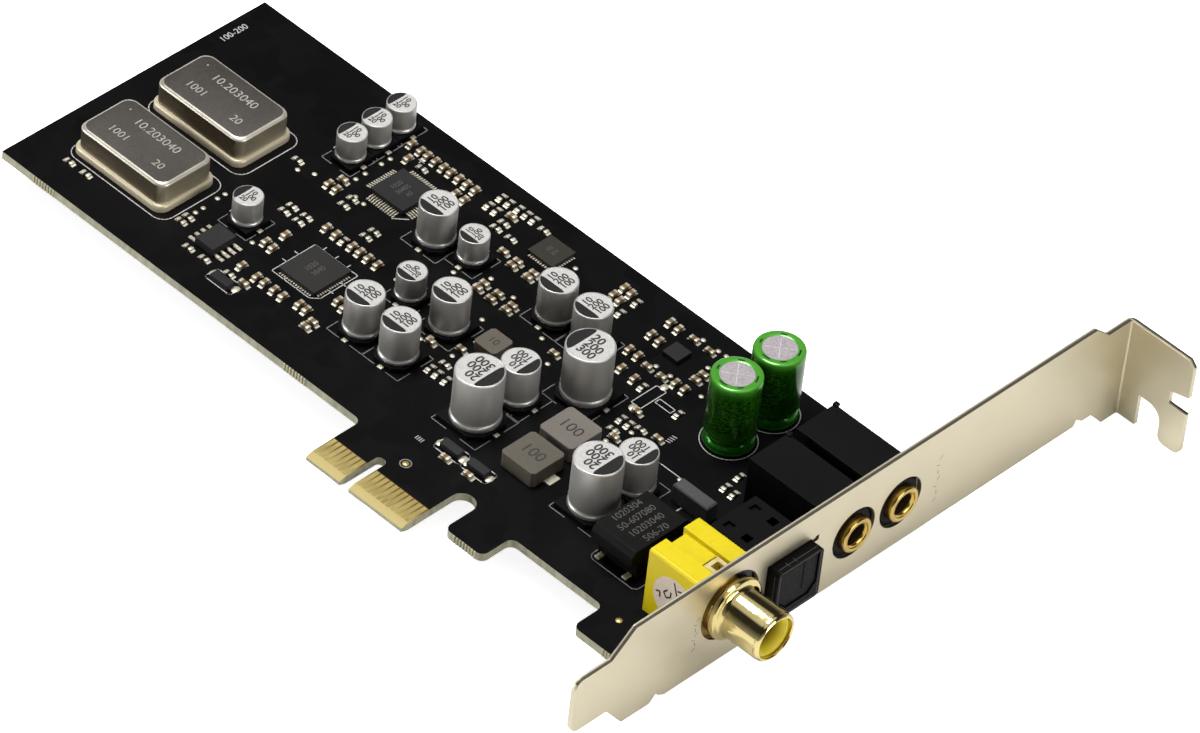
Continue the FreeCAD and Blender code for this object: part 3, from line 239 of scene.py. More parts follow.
def colour(red, green, blue):
    def linear(value):
        value = value / 255
        return value / 12.92 if value <= 0.04045 else ((value + 0.055) / 1.055) ** 2.4
    return (linear(red), linear(green), linear(blue), 1.0)


class Finish:
    def __init__(self, name, **shader):
        self.material = bpy.data.materials.new(name)
        self.material.use_nodes = True
        self.tree = self.material.node_tree
        self.tree.nodes.clear()
        self.output = self.tree.nodes.new("ShaderNodeOutputMaterial")
        self.shader = self.tree.nodes.new("ShaderNodeBsdfPrincipled")
        self.tree.links.new(self.shader.outputs[0], self.output.inputs[0])
        self.place = self.node("TexCoord", {}, {}, "Object")
        self.set(**shader)

    def node(self, kind, settings, inputs, output=0):
        made = self.tree.nodes.new("ShaderNode" + kind)
        for key, value in settings.items():
            setattr(made, key, value)
        for key, value in inputs.items():
            self.feed(made.inputs[key], value)
        return Wire(self, made.outputs[output])

    def feed(self, socket, value):
        if isinstance(value, Wire):
            self.tree.links.new(value.socket, socket)
        else:
            socket.default_value = value

    def set(self, **values):
        for key, value in values.items():
            name = key.replace("_", " ").title().replace("Ior", "IOR")
            self.feed(self.shader.inputs[name], value)

    def noise(self, scale, detail=3.0, rough=0.5, where=None):
        inputs = {"Vector": where or self.place, "Scale": scale, "Detail": detail, "Roughness": rough}
        return self.node("TexNoise", {}, inputs)

    def stretched(self, x, y, z):
        return self.node("Mapping", {}, {"Vector": self.place, "Scale": (x, y, z)})

    def mix(self, factor, first, second):
        first, second = [colour(*v) if isinstance(v, tuple) else v for v in (first, second)]
        return self.node("Mix", {"data_type": "RGBA"}, {0: factor, 6: first, 7: second}, 2)

    def ramp(self, value, low, high):
        inputs = {"Value": value, "From Min": low, "From Max": high, "To Min": 0.0, "To Max": 1.0}
        return self.node("MapRange", {"clamp": True}, inputs)

    def bump(self, height, strength, distance=0.0001):
        inputs = {"Height": height, "Strength": strength, "Distance": distance}
        self.feed(self.shader.inputs["Normal"], self.node("Bump", {}, inputs))

    def along(self, axis):
        return self.node("SeparateXYZ", {}, {"Vector": self.place}, axis)

    def facing(self, axis):
        normal = self.node("TexCoord", {}, {}, "Normal")
        return self.node("SeparateXYZ", {}, {"Vector": normal}, axis)


# %% [markdown]
# The finishes of the card are few: solder mask, bare laminate, gold, tin, nickel,
# aluminium, black and coloured plastics, and silkscreen paint. Each has a base
# tone that drifts a little and a roughness or bump at the scale of the real grain.
# Inside a finish, heights are in metres, as the shader reads them.

# %% Board finish
FRONT = 59.3
BARE_SIDE, BARE_TOP = 0.7, 0.1


def board_finish():
    finish = Finish("black_solder_mask", specular_ior_level=0.08)
    cloudy = finish.noise(90.0, 4.0)
    cells = {"Vector": finish.place, "Scale": 240.0}
    pour = finish.node("TexVoronoi", {"distance": "CHEBYCHEV"}, cells, "Color")
    tone = finish.node("SeparateColor", {}, {0: pour}, 0)
    mask = finish.mix(finish.ramp(tone + cloudy * 0.4, 0.3, 1.1), (6, 5, 6), (11, 10, 11))
    weave = finish.noise(900.0, 2.0, where=finish.stretched(1.0, 1.0, 0.2))
    glass = finish.mix(finish.ramp(weave, 0.3, 0.7), (142, 141, 122), (170, 168, 146))
    edge = abs(finish.facing(2)) < 0.5
    contacts = islands("edge_contacts")
    left = min(low.x for low, high in contacts) - BARE_SIDE
    right = max(high.x for low, high in contacts) + BARE_SIDE
    line = max(high.y for low, high in contacts) + BARE_TOP
    across, up = finish.along(0) * 1000, finish.along(1) * 1000
    bare = (across > left) * (across < right) * (up < line)
    cream = finish.mix(finish.ramp(up, 1.2, 4.6), (178, 163, 108), (108, 86, 48))
    shade = finish.mix(edge, finish.mix(bare, mask, cream), glass)
    finish.set(base_color=shade, roughness=0.4 + edge * 0.4)
    finish.bump(finish.ramp(tone, 0.42, 0.5) + cloudy * 0.3, 0.15, 0.00003)
    return finish.material


def metal(name, shade, deep, rough, grain=700.0, stretch=(1, 1, 1), bump=0.04, share=1.0):
    finish = Finish(name, metallic=share)
    drift = finish.noise(45.0)
    fine = finish.noise(grain, where=finish.stretched(*stretch))
    tone = finish.ramp(drift + fine * 0.35, 0.45, 0.9)
    finish.set(base_color=finish.mix(tone, deep, shade))
    finish.set(roughness=rough + finish.ramp(fine, 0.3, 0.7) * 0.08)
    finish.bump(fine, bump, 0.00002)
    return finish.material


def plastic(name, shade, light, rough, grain=1600.0, bump=0.12, gloss=0.3):
    finish = Finish(name, specular_ior_level=gloss)
    fine = finish.noise(grain)
    drift = finish.noise(60.0)
    tone = finish.ramp(drift + fine * 0.5, 0.5, 1.0)
    finish.set(base_color=finish.mix(tone, shade, light))
    finish.set(roughness=rough + finish.ramp(fine, 0.3, 0.7) * 0.12)
    finish.bump(fine, bump, 0.00002)
    return finish.material


def paint(name, shade, worn):
    finish = Finish(name, specular_ior_level=0.3)
    speck = finish.noise(2600.0, 4.0)
    tone = finish.ramp(speck, 0.45, 0.75)
    finish.set(base_color=finish.mix(tone, shade, worn), roughness=0.62)
    finish.bump(speck, 0.1, 0.00001)
    return finish.material


def sleeve_finish():
    """Shiny green sleeve, lighter over the lip, lighter over the foot as a painted highlight, with a
    dark field for its print.
    """
    finish = Finish("green_sleeve", coat_weight=0.12, coat_roughness=0.12)
    high = finish.along(2)
    lip = finish.ramp(high, 0.0128, 0.0142)
    drift = finish.noise(260.0, where=finish.stretched(1, 1, 0.25))
    wall = finish.mix(finish.ramp(drift, 0.35, 0.7), (26, 92, 8), (60, 140, 22))
    rows = finish.noise(1500.0, 2.0, 0.6, finish.stretched(1, 1, 2.4))
    field = finish.ramp(rows, 0.32, 0.6) * finish.ramp(high, 0.0044, 0.0054)
    field = field * finish.ramp(high, 0.013, 0.0118)
    wall = finish.mix(field * 0.8, wall, (4, 24, 4))
    # Painted highlight: the foot is a lighter green.
    base = finish.mix(finish.ramp(high, 0.0028, 0.0044), (34, 128, 24), wall)
    finish.set(base_color=finish.mix(lip, base, (76, 154, 50)))
    finish.set(roughness=0.2, metallic=0.55 - lip * 0.35)
    finish.bump(drift, 0.06, 0.0001)
    return finish.material


def can_steel_finish():
    """Drawn steel: a pale flange at the foot, a wall in painted shade that darkens upwards, and painted
    light on its side facing +X.
    """
    finish = Finish("oscillator_steel_painted_shade")
    high = finish.along(2)
    drift = finish.noise(120.0)
    # Painted shade darkens the wall upwards, and painted light brightens its side facing +X.
    upwards = finish.ramp(high + drift * 0.001, 0.002, 0.0056)
    wall = finish.mix(upwards, (146, 133, 109), (76, 68, 56))
    painted_lit_side = finish.mix(upwards, (218, 208, 180), (176, 166, 142))
    wall = finish.mix(finish.ramp(finish.facing(0), 0.3, 0.8), wall, painted_lit_side)
    flange = high < 0.0021
    finish.set(base_color=finish.mix(flange, wall, (204, 193, 166)))
    finish.set(metallic=0.8 - flange * 0.5, roughness=0.34 + drift * 0.08)
    return finish.material


def nickel_finish(high):
    """Nickel on sheet steel, whose sheared edges are half bright, half torn and dark."""
    finish = Finish("nickel_plating")
    drift = finish.noise(45.0)
    fine = finish.noise(500.0, where=finish.stretched(1, 0.2, 1))
    tone = finish.ramp(drift + fine * 0.35, 0.45, 0.9)
    plate = finish.mix(tone, (197, 188, 164), (206, 198, 174))
    up = finish.along(1)
    front = (finish.along(0) > (FRONT - 0.55) * MM) * (up < (high.y - 0.9) * MM)
    torn = (finish.facing(2) > 0.7) * (front + (up > (high.y - 0.5) * MM))
    finish.set(base_color=finish.mix(torn, plate, (74, 68, 58)), metallic=1.0 - torn * 0.4)
    finish.set(roughness=0.4 + finish.ramp(fine, 0.3, 0.7) * 0.08 + torn * 0.15)
    finish.bump(fine, 0.01, 0.00002)
    return finish.material


def collar_shade_finish(low):
    """The phono housing inside the bracket's hole, gold near the flange and black further in, as
    painted shade.
    """
    finish = Finish("phono_collar_painted_shade")
    slope = finish.along(1) + finish.along(2) * 0.7
    # Painted shade: black where the housing lies back in the bracket's hole.
    painted_shade = finish.ramp(slope, (low.y + 13.9) * MM, (low.y + 14.9) * MM)
    finish.set(base_color=finish.mix(painted_shade, (150, 118, 48), (10, 9, 8)))
    finish.set(metallic=0.8 - painted_shade * 0.8, roughness=0.35)
    return finish.material


def insulator_shade_finish(high):
    """Pale yellow plastic, darker down its recess as painted shade."""
    finish = Finish("pale_yellow_recess_shade", roughness=0.4, specular_ior_level=0.3)
    drift = finish.noise(500.0)
    # Painted shade: darker towards the back of the recess.
    deep = finish.ramp(finish.along(0), (high.x - 2.0) * MM, (high.x - 0.4) * MM)
    pale = finish.mix(drift, (206, 188, 44), (190, 172, 34))
    finish.set(base_color=finish.mix(deep, (126, 102, 6), pale))
    return finish.material


# %% [markdown]
# Each finish is made once, from two tones typed from 0 to 255 and a roughness.

# %% Table of finishes
SOLDER_MASK = board_finish()
GOLD_FLASH = metal("gold_contact", (197, 180, 116), (172, 153, 92), 0.36, share=0.75)
PALE_GOLD = metal("pale_gold_plating", (224, 207, 148), (200, 181, 120), 0.05, bump=0.01)
CLIP_GOLD = metal("clip_gold", (240, 224, 166), (218, 200, 140), 0.34, share=0.6)
DEEP_GOLD = metal("deep_gold_plating", (208, 182, 108), (178, 148, 74), 0.14, bump=0.01)
TIN = metal("tinned_end", (214, 208, 190), (172, 166, 148), 0.4, 1200.0, bump=0.2, share=0.55)
NICKEL = nickel_finish(islands("mounting_bracket")[0][1])
PHONO_COLLAR_SHADE = collar_shade_finish(islands("phono_barrel")[0][0])
SHADED_CAN_STEEL = can_steel_finish()
# A painted highlight for the oscillators' crown edges.
CAN_EDGE_HIGHLIGHT = metal("oscillator_edge_highlight", (206, 200, 187), (182, 175, 162), 0.34, 300.0, share=0.65)
CAN_TOP = metal("oscillator_top", (92, 87, 82), (66, 62, 58), 0.42, 2400.0, bump=0.12, share=0.6)
# Painted shade for the inside of the sockets' bores.
BORE_SHADE = plastic("socket_bore_painted_shade", (26, 18, 8), (44, 30, 12), 0.4)
ALUMINIUM = metal("capacitor_aluminium", (196, 194, 190), (172, 170, 166), 0.4, 500.0, (1, 1, 0.2),
                  share=0.7)
# Painted highlight for the capacitor cans' skirts.
SKIRT_HIGHLIGHT = metal("capacitor_skirt_highlight", (226, 225, 222), (196, 195, 192), 0.28, share=0.8)
ZINC = metal("zinc_plating", (196, 198, 200), (150, 152, 156), 0.28)
BLACK_PLASTIC = plastic("black_moulding", (6, 5, 6), (11, 10, 11), 0.5, gloss=0.09)
CHIP_RESIN = plastic("chip_resin", (24, 23, 24), (36, 35, 35), 0.55, 2600.0, 0.3, 0.25)
BUS_RESIN = plastic("bus_chip_resin", (20, 19, 19), (31, 30, 28), 0.5, 2600.0, 0.3, 0.3)
BROWN_RESIN = plastic("converter_resin", (29, 26, 18), (43, 38, 27), 0.45, 2600.0, 0.3, 0.4)
COIL_BLACK = plastic("transformer_resin", (6, 5, 5), (15, 14, 13), 0.5, 2600.0, 0.4, 0.11)
RESISTOR_BLACK = plastic("resistor_glaze", (16, 16, 18), (26, 25, 28), 0.34)
CERAMIC_TAN = plastic("ceramic_tan", (92, 72, 46), (118, 94, 62), 0.45)
FERRITE = plastic("inductor_resin", (98, 92, 86), (116, 109, 102), 0.6, 2200.0, 0.4, 0.3)
OLIVE_FERRITE = plastic("power_inductor_resin", (78, 74, 64), (96, 91, 80), 0.6, 2200.0, 0.4, 0.3)
DARK_FERRITE = plastic("small_inductor_resin", (86, 79, 70), (106, 98, 88), 0.6, 2200.0, 0.4, 0.3)
FILM_GREY = plastic("film_top", (58, 57, 60), (84, 83, 86), 0.6, 2200.0, 0.4, 0.3)
YELLOW_PLASTIC = plastic("yellow_moulding", (202, 182, 10), (216, 196, 20), 0.34)
PALE_YELLOW_SHADED = insulator_shade_finish(islands("phono_insulator")[0][1])
GREEN_SLEEVE_LIT_FOOT = sleeve_finish()
CAP_TOP = paint("capacitor_top", (184, 183, 180), (166, 165, 163))
TALL_TOP = paint("tall_capacitor_top", (158, 151, 154), (132, 126, 129))
SCORE_WHITE = paint("score_lines", (196, 192, 194), (172, 167, 170))
CAP_MARK = paint("capacitor_mark", (14, 13, 12), (26, 25, 24))
WHITE_PRINT = paint("white_silkscreen", (186, 186, 184), (140, 140, 138))
GREY_PRINT = paint("grey_print", (158, 155, 148), (130, 127, 121))
FAINT_PRINT = paint("faint_print", (80, 78, 76), (54, 52, 52))
DARK_PRINT = paint("dark_print", (44, 42, 40), (66, 64, 62))
LABEL_WHITE = paint("paper_label", (210, 196, 182), (198, 184, 168))
WORN_PRINT = paint("worn_silkscreen", (122, 122, 120), (84, 84, 82))
GHOST_PRINT = paint("ghost_print", (140, 132, 112), (124, 116, 98))
# Painted highlight for the edges of the optical nose.
EDGE_HIGHLIGHT = plastic("painted_edge_highlight", (70, 68, 65), (92, 89, 85), 0.5, gloss=0.2)
LAMINATE = plastic("bare_laminate", (150, 146, 116), (184, 180, 150), 0.6)
print("finishes:", len(bpy.data.materials))

# %% [markdown]
# Most solids have the right outline but razor edges, and a real edge catches the
# light. A merged copy with a narrow bevel stands for such a node. A bevel modifier
# set to an angle finds the edges, where marking each by hand would be slow.

# %% Softened copies
def dress(obj, finish, body="card", nodes=()):
    rest_hands()
    if finish:
        coat(obj, *(finish if isinstance(finish, tuple) else (finish,)))
    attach(obj, body)
    if nodes:
        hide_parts(*nodes)
    return obj


def bevelled(obj, width, segments=2):
    take(obj)
    bevel = obj.modifiers.new("edges", "BEVEL")
    bevel.width = width * MM
    bevel.segments = segments
    bevel.limit_method = "ANGLE"
    bevel.angle_limit = math.radians(30)
    bpy.ops.object.modifier_apply(modifier="edges")
    return obj


def flat_faced(obj):
    """Weighs normals by area, so a bevel rounds its edge and leaves the faces flat."""
    take(obj)
    weighed = obj.modifiers.new("normals", "WEIGHTED_NORMAL")
    weighed.weight = 80
    weighed.keep_sharp = True
    bpy.ops.object.modifier_apply(modifier="normals")
    return obj


def merged_copy(node):
    obj = linked(node + "_finished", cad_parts[node].data.copy())
    edit(obj)
    bpy.ops.mesh.select_all(action="SELECT")
    bpy.ops.mesh.remove_doubles(threshold=1e-7)
    bpy.ops.mesh.dissolve_limited(angle_limit=math.radians(0.5))
    rest_hands()
    return obj


def softened(node, finish, width, segments=2, body="card", degrees=35):
    obj = flat_faced(smooth(bevelled(merged_copy(node), width, segments), degrees))
    return dress(obj, finish, body, [node])


softened("circuit_board", SOLDER_MASK, 0.06, 1)
softened("mounting_bracket", NICKEL, 0.14)
BASES = ["small_capacitor_bases", "medium_capacitor_bases", "large_capacitor_bases"]
for node, finish in {
    "bracket_screws": ZINC, "bracket_nuts": ZINC,
    "phono_centre_contact": DEEP_GOLD, "phono_earth_clip": CLIP_GOLD, "jack_contacts": DEEP_GOLD,
    "tall_capacitor_tops": TALL_TOP, "lead_ends": TIN,
}.items():
    coat(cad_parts[node], finish)
for finish, slot, width, nodes in [
    (BLACK_PLASTIC, "black_plastic", 0.12, ["optical_housing"]),
    (BLACK_PLASTIC, "black_plastic", 0.15, ["near_jack_housing", "far_jack_housing"]),
    (BLACK_PLASTIC, "base_black", 0.12, BASES),
    (OLIVE_FERRITE, "ferrite", 0.12, ["power_inductor"]),
    (FERRITE, "ferrite", 0.12, ["filter_inductor"]),
    (DARK_FERRITE, "ferrite", 0.1, ["small_inductor"]),
    (COIL_BLACK, "chip_black", 0.12, ["signal_transformer"]),
    (FILM_GREY, "chip_black", 0.12, ["film_capacitor"]),
    (CHIP_RESIN, "chip_black", 0.06, ["flat_pack_chip"]),
    (BUS_RESIN, "chip_black", 0.06, ["bus_chip"]),
    (BROWN_RESIN, "chip_black", 0.06, ["converter_chip"]),
    (CHIP_RESIN, "chip_black", 0.06, ["eight_lead_chip", "amplifier_chip"]),
    (CHIP_RESIN, "chip_black", 0.1, ["power_diodes"]),
    (TIN, "silver", 0.05, ["silver_terminals"]),
]:
    for node in nodes:
        softened(node, finish, width)
softened("edge_contacts", GOLD_FLASH, 0.02, 1, "card", 8)
softened("optical_door", BLACK_PLASTIC, 0.06, 1, "door")
socket = softened("phono_housing", (YELLOW_PLASTIC, PHONO_COLLAR_SHADE), 0.2)
# Front faces inside the bracket's hole take the collar finish, black there as painted shade.
for face in socket.data.polygons:
    face.material_index = int(face.center.x > (FRONT - 1.3) * MM and face.center.z < 14 * MM)

# %% [markdown]
# Round parts are turned as on a lathe: a circle is drawn, and each step of the
# profile extrudes it and scales it to the next radius. That keeps the mesh clean
# where a revolved curve would leave a seam.

# %% Turning
ALONG_X = Matrix(((0, 0, 1, 0), (0, 1, 0, 0), (-1, 0, 0, 0), (0, 0, 0, 1)))


def turned(name, profile, place=Matrix(), steps=48, hollow=False):
    radius, height = profile[0]
    obj = start(name, bpy.ops.mesh.primitive_circle_add, vertices=steps, radius=radius * MM,
                location=(0, 0, height * MM), fill_type="NOTHING")
    edit(obj)
    bpy.ops.mesh.select_all(action="SELECT")
    if not hollow:
        bpy.ops.mesh.edge_face_add()
    for to_radius, to_height in profile[1:]:
        rise = (0, 0, (to_height - height) * MM)
        bpy.ops.mesh.extrude_region_move(TRANSFORM_OT_translate={"value": rise})
        share = to_radius / radius
        bpy.ops.transform.resize(value=(share, share, 1), center_override=(0, 0, 0))
        radius, height = to_radius, to_height
    bpy.ops.mesh.select_all(action="SELECT")
    if hollow:
        bpy.ops.mesh.remove_doubles(threshold=1e-7)
    bpy.ops.mesh.normals_make_consistent(inside=False)
    rest_hands()
    return smooth(moved(obj, place))


# %% [markdown]
# The surface-mounted capacitors are the same in three sizes: an aluminium can with
# a rolled crown, a groove and a skirt low down in a painted highlight, and a pale
# printed top whose dark half-moon marks one pin. One can of each size is turned, its
# top is bisected along the half-moon's chord, and copies are turned to face the right way.

# %% Capacitor cans
RIGHT_MARKS = [(3.4, 32.8), (28.6, 32.3), (2.7, 24.6), (27.6, 24.55)]
LEFT_MARKS = [(9.4, 41.2), (-52.0, 62.4), (-51.9, 57.0), (-51.85, 51.6), (-51.4, 29.1)]
CHORD = 0.38
TOP_SHARE = 0.83
PRINT_THICK = 0.02


def mark_turn(spot):
    def near(places):
        return any(math.hypot(spot.x - a, spot.y - b) < 1.5 for a, b in places)
    return 0 if near(RIGHT_MARKS) else 180 if near(LEFT_MARKS) else -90


def can_master(radius, low, high):
    edge = 0.06 * radius
    skirt = 0.24 * radius
    wall = 0.965 * radius
    profile = [
        (radius - 0.3, low), (radius - 0.06, low + 0.08), (radius, low + 0.3 * skirt),
        (radius - 0.02, low + 0.7 * skirt), (radius - 0.1, low + skirt),
        (wall - 0.12, low + skirt * 1.15), (wall - 0.13, low + skirt * 1.4), (wall, low + skirt * 1.75),
        (wall, high - edge * 1.3), (wall - edge * 0.06, high - edge * 0.8),
        (wall - edge * 0.3, high - edge * 0.3), (wall - edge * 0.8, high), (wall - edge, high),
        (wall - edge * 1.15, high - 0.06), (radius * 0.6, high - 0.06),
    ]
    obj = turned("can_master", profile)
    coat(obj, ALUMINIUM, SKIRT_HIGHLIGHT, CAP_TOP, CAP_MARK)

    def on_top(place, normal):
        return normal.z > 0.9 and place.z > high - 0.5 and place.xy.length < radius * TOP_SHARE

    edit(obj)
    pick(obj, "FACE", on_top)
    bpy.ops.mesh.bisect(plane_co=(CHORD * radius * MM, 0, 0), plane_no=(1, 0, 0))
    rest_hands()
    for face in obj.data.polygons:
        spot = face.center / MM
        if on_top(spot, face.normal):
            face.material_index = 3 if spot.x > CHORD * radius else 2
        # The skirt takes the painted highlight.
        elif spot.z < low + skirt:
            face.material_index = 1
    return obj


def number(text, size, bold=0.0):
    """Plain figures as a thin mesh, flat and centred on the origin."""
    rest_hands()
    bpy.ops.object.text_add()
    obj = bpy.context.object
    obj.data.body = text
    obj.data.size = size * MM
    obj.data.align_x = "CENTER"
    obj.data.align_y = "CENTER"
    obj.data.extrude = PRINT_THICK / 2 * MM
    obj.data.offset = bold * MM
    obj.data.resolution_u = 3
    bpy.ops.object.convert(target="MESH")
    return bpy.context.object


def can_set(node, figures):
    boxes = islands(node)
    low, high = boxes[0]
    radius = (high.x - low.x) / 2
    master = can_master(radius, low.z, high.z)
    rows = []
    for k, text in enumerate(figures):
        row = number(text, radius * 0.54, bold=radius * 0.012)
        inwards = (0.34 - 0.165 * len(text)) * radius
        place = shifted(inwards, (0.42 - 0.42 * k) * radius, high.z - 0.045)
        rows.append(moved(row, place @ spun(180)))
    print_master = joined("print_master", rows)
    cans, prints = [], []
    for box in boxes:
        spot = middle_of(box)
        place = shifted(spot.x, spot.y, 0) @ spun(mark_turn(spot))
        cans.append(copy_of(master, place))
        prints.append(copy_of(print_master, place))
    drop(master)
    drop(print_master)
    dress(joined(node + "_finished", cans), None, "card", [node])
    dress(joined(node.replace("cans", "figures"), prints), DARK_PRINT)
    return len(boxes)


count = can_set("small_capacitor_cans", ("20", "100", "10"))
count += can_set("medium_capacitor_cans", ("100", "200", "10"))
count += can_set("large_capacitor_cans", ("300", "200", "20"))
print("cans:", count)

# %% [markdown]
# The two tall capacitors wear a glossy green sleeve, shrunk over the crown so that
# a lighter lip is left round the bare top, which is scored with a cross. Each pair
# of its profile is an inset and a height above the foot or below the lip.

# %% Tall capacitors
SLEEVE_FOOT = [(0.5, 0), (0.12, 0.12), (0, 0.45), (0, 1.1), (0.1, 1.5), (0.42, 1.85), (0.42, 2.15),
               (0.1, 2.5), (0.02, 3.0)]
SLEEVE_LIP = [(0.02, 1.0), (0.02, 0.5), (0.12, 0.18), (0.32, 0.03), (0.55, 0), (1.25, 0.03),
              (1.43, 0.12), (1.48, 0.3)]
SCORE_TURNS = (38, 128)
DASH_TURNS = (18, 27, 36, 118, 127, 196, 205, 262, 271, 280, 318, 327)
sleeves, crowns, dashes = [], [], []
for low, high in islands("tall_capacitor_sleeves"):
    spot = middle_of((low, high))
    radius = (high.x - low.x) / 2
    profile = [(radius - inset, low.z + up) for inset, up in SLEEVE_FOOT]
    profile += [(radius - inset, high.z - down) for inset, down in SLEEVE_LIP]
    profile.append((radius * 0.4, high.z - 0.3))
    sleeves.append(turned("sleeve", profile, shifted(spot.x, spot.y, 0), 56))
    for angle in SCORE_TURNS:
        place = shifted(spot.x, spot.y, high.z - 0.075) @ spun(angle)
        crowns.append(block("score", place, (radius * 1.15, 0.11, 0.03)))
    for angle in DASH_TURNS:
        place = shifted(spot.x, spot.y, high.z - 0.02) @ spun(angle) @ shifted(radius - 0.98, 0, 0)
        dashes.append(block("dash", place, (0.26, 0.5, 0.04)))
dress(joined("sleeve_marks", dashes), CAP_MARK)
sleeve = joined("tall_capacitor_sleeves_finished", sleeves)
dress(sleeve, GREEN_SLEEVE_LIT_FOOT, "card", ["tall_capacitor_sleeves"])
dress(joined("tall_capacitor_scores", crowns), SCORE_WHITE)
print("sleeves:", len(sleeves))

# %% [markdown]
# Each oscillator is a drawn steel can welded to a foot plate. The plate's upright
# corners are bevelled wide, and its top is extruded in steps, each drawn inwards:
# the flare, the wall and the crown. The crown's flat middle is darker than its edge,
# whose lighter tone is a painted highlight.

# %% Oscillators
FOOT_PLATE, CORNER = 0.86, 1.9
FLARE = [(0.08, 0.2), (0.15, 0.14), (0.27, 0.02)]
CROWN = [(0.05, 0.2), (0.11, 0.18), (0.16, 0.13), (0.22, 0.08), (0.26, 0.03)]
CAN_ROWS = (("10.203040", 0.3, 2.1, 2.3), ("1001", -4.0, -1.9, 2.1), ("20", 5.2, -2.3, 2.1),
            (".", -6.9, 3.9, 2.6))


def oscillator(node):
    low, high = islands(node)[0]
    spot = middle_of((low, high))
    size = high - low
    obj = block(node + "_finished", Matrix(), (size.x, size.y, FOOT_PLATE))
    edit(obj)
    pick(obj, "EDGE", lambda a, b: abs(a.z - b.z) > 0.5)
    bpy.ops.mesh.bevel(offset=CORNER * MM, segments=7)
    wall = size.z - FOOT_PLATE - sum(up for inward, up in FLARE + CROWN)
    pick(obj, "FACE", lambda c, n: n.z > 0.9)
    across, along = size.x, size.y
    for inward, up in FLARE + [(0.0, wall)] + CROWN:
        bpy.ops.mesh.extrude_region_move(TRANSFORM_OT_translate={"value": (0, 0, up * MM)})
        shares = (1 - 2 * inward / across, 1 - 2 * inward / along, 1)
        bpy.ops.transform.resize(value=shares, center_override=(0, 0, 0))
        across, along = across - 2 * inward, along - 2 * inward
    rest_hands()
    moved(obj, shifted(spot.x, spot.y, low.z + FOOT_PLATE / 2))
    smooth(obj, 40)
    coat(obj, SHADED_CAN_STEEL, CAN_TOP, CAN_EDGE_HIGHLIGHT)
    # The crown's edge takes the painted highlight, its flat middle the darker top.
    for face in obj.data.polygons:
        crown = face.center.z > (high.z - 0.5) * MM
        face.material_index = 0 if not crown else 1 if face.normal.z > 0.97 else 2
    dress(obj, None, "card", [node])
    rows = []
    for text, x, y, tall in CAN_ROWS:
        rows.append(moved(number(text, tall), shifted(spot.x + x, spot.y + y, high.z + 0.002)))
    dress(joined(node + "_figures", rows), GREY_PRINT)


oscillator("lower_oscillator")
oscillator("upper_oscillator")

# %% [markdown]
# A chip capacitor is a tan ceramic block with a tin cap fired on each end, and a
# chip resistor is flatter and black. One of each is cut from a box with two
# bisections, its ends take the tin, and low solder feet run out onto the pads.

# %% Chip components
FOOT_LONG, FOOT_HIGH = 0.56, 0.22


def chip_master(name, size, end, body_finish):
    obj = block(name, shifted(0, 0, size.z / 2), size)
    edit(obj)
    for side in (-1, 1):
        bpy.ops.mesh.select_all(action="SELECT")
        bpy.ops.mesh.bisect(plane_co=(side * (size.x / 2 - end) * MM, 0, 0), plane_no=(1, 0, 0))
    rest_hands()
    coat(obj, body_finish, TIN)
    for face in obj.data.polygons:
        face.material_index = int(abs(face.center.x / MM) > size.x / 2 - end - 0.01)
    bevelled(obj, 0.07)
    feet = []
    for side in (-1, 1):
        place = shifted(side * (size.x / 2 + 0.08), 0, FOOT_HIGH / 2)
        foot = block("foot", place, (FOOT_LONG, size.y * 1.08, FOOT_HIGH))
        edit(foot)
        pick(foot, "VERT", lambda c: c.z > 0.1 and c.x * side > size.x / 2 + 0.1)
        bpy.ops.transform.translate(value=(0, 0, -0.14 * MM))
        rest_hands()
        coat(foot, TIN)
        feet.append(bevelled(foot, 0.05, 1))
    return smooth(joined(name, [obj] + feet))


def chip_set(node, end, body_finish, jitter=1.5):
    boxes = islands(node)
    shape = boxes[0][1] - boxes[0][0]
    size = Vector((max(shape.x, shape.y), min(shape.x, shape.y), shape.z))
    master = chip_master(node + "_one", size, end, body_finish)
    copies = []
    for low, high in boxes:
        spot = middle_of((low, high))
        upright = high.y - low.y > high.x - low.x
        angle = (90 if upright else 0) + random.uniform(-jitter, jitter)
        copies.append(copy_of(master, shifted(spot.x, spot.y, low.z) @ spun(angle)))
    drop(master)
    dress(joined(node + "_finished", copies), None, "card", [node])
    return len(boxes)


random.seed(7)
print("ceramics:", chip_set("ceramic_capacitors", 0.46, CERAMIC_TAN))
print("resistors:", chip_set("chip_resistors", 0.52, RESISTOR_BLACK))

# %% [markdown]
# The phono socket's barrel, its insulator and the gold bushes of the audio sockets
# are turned about the X axis. Their ends are rolled, and the rolled lips give the
# thin bright rings that the photograph shows. Each pair of a profile is a radius
# and a distance from the back end or from the front end.

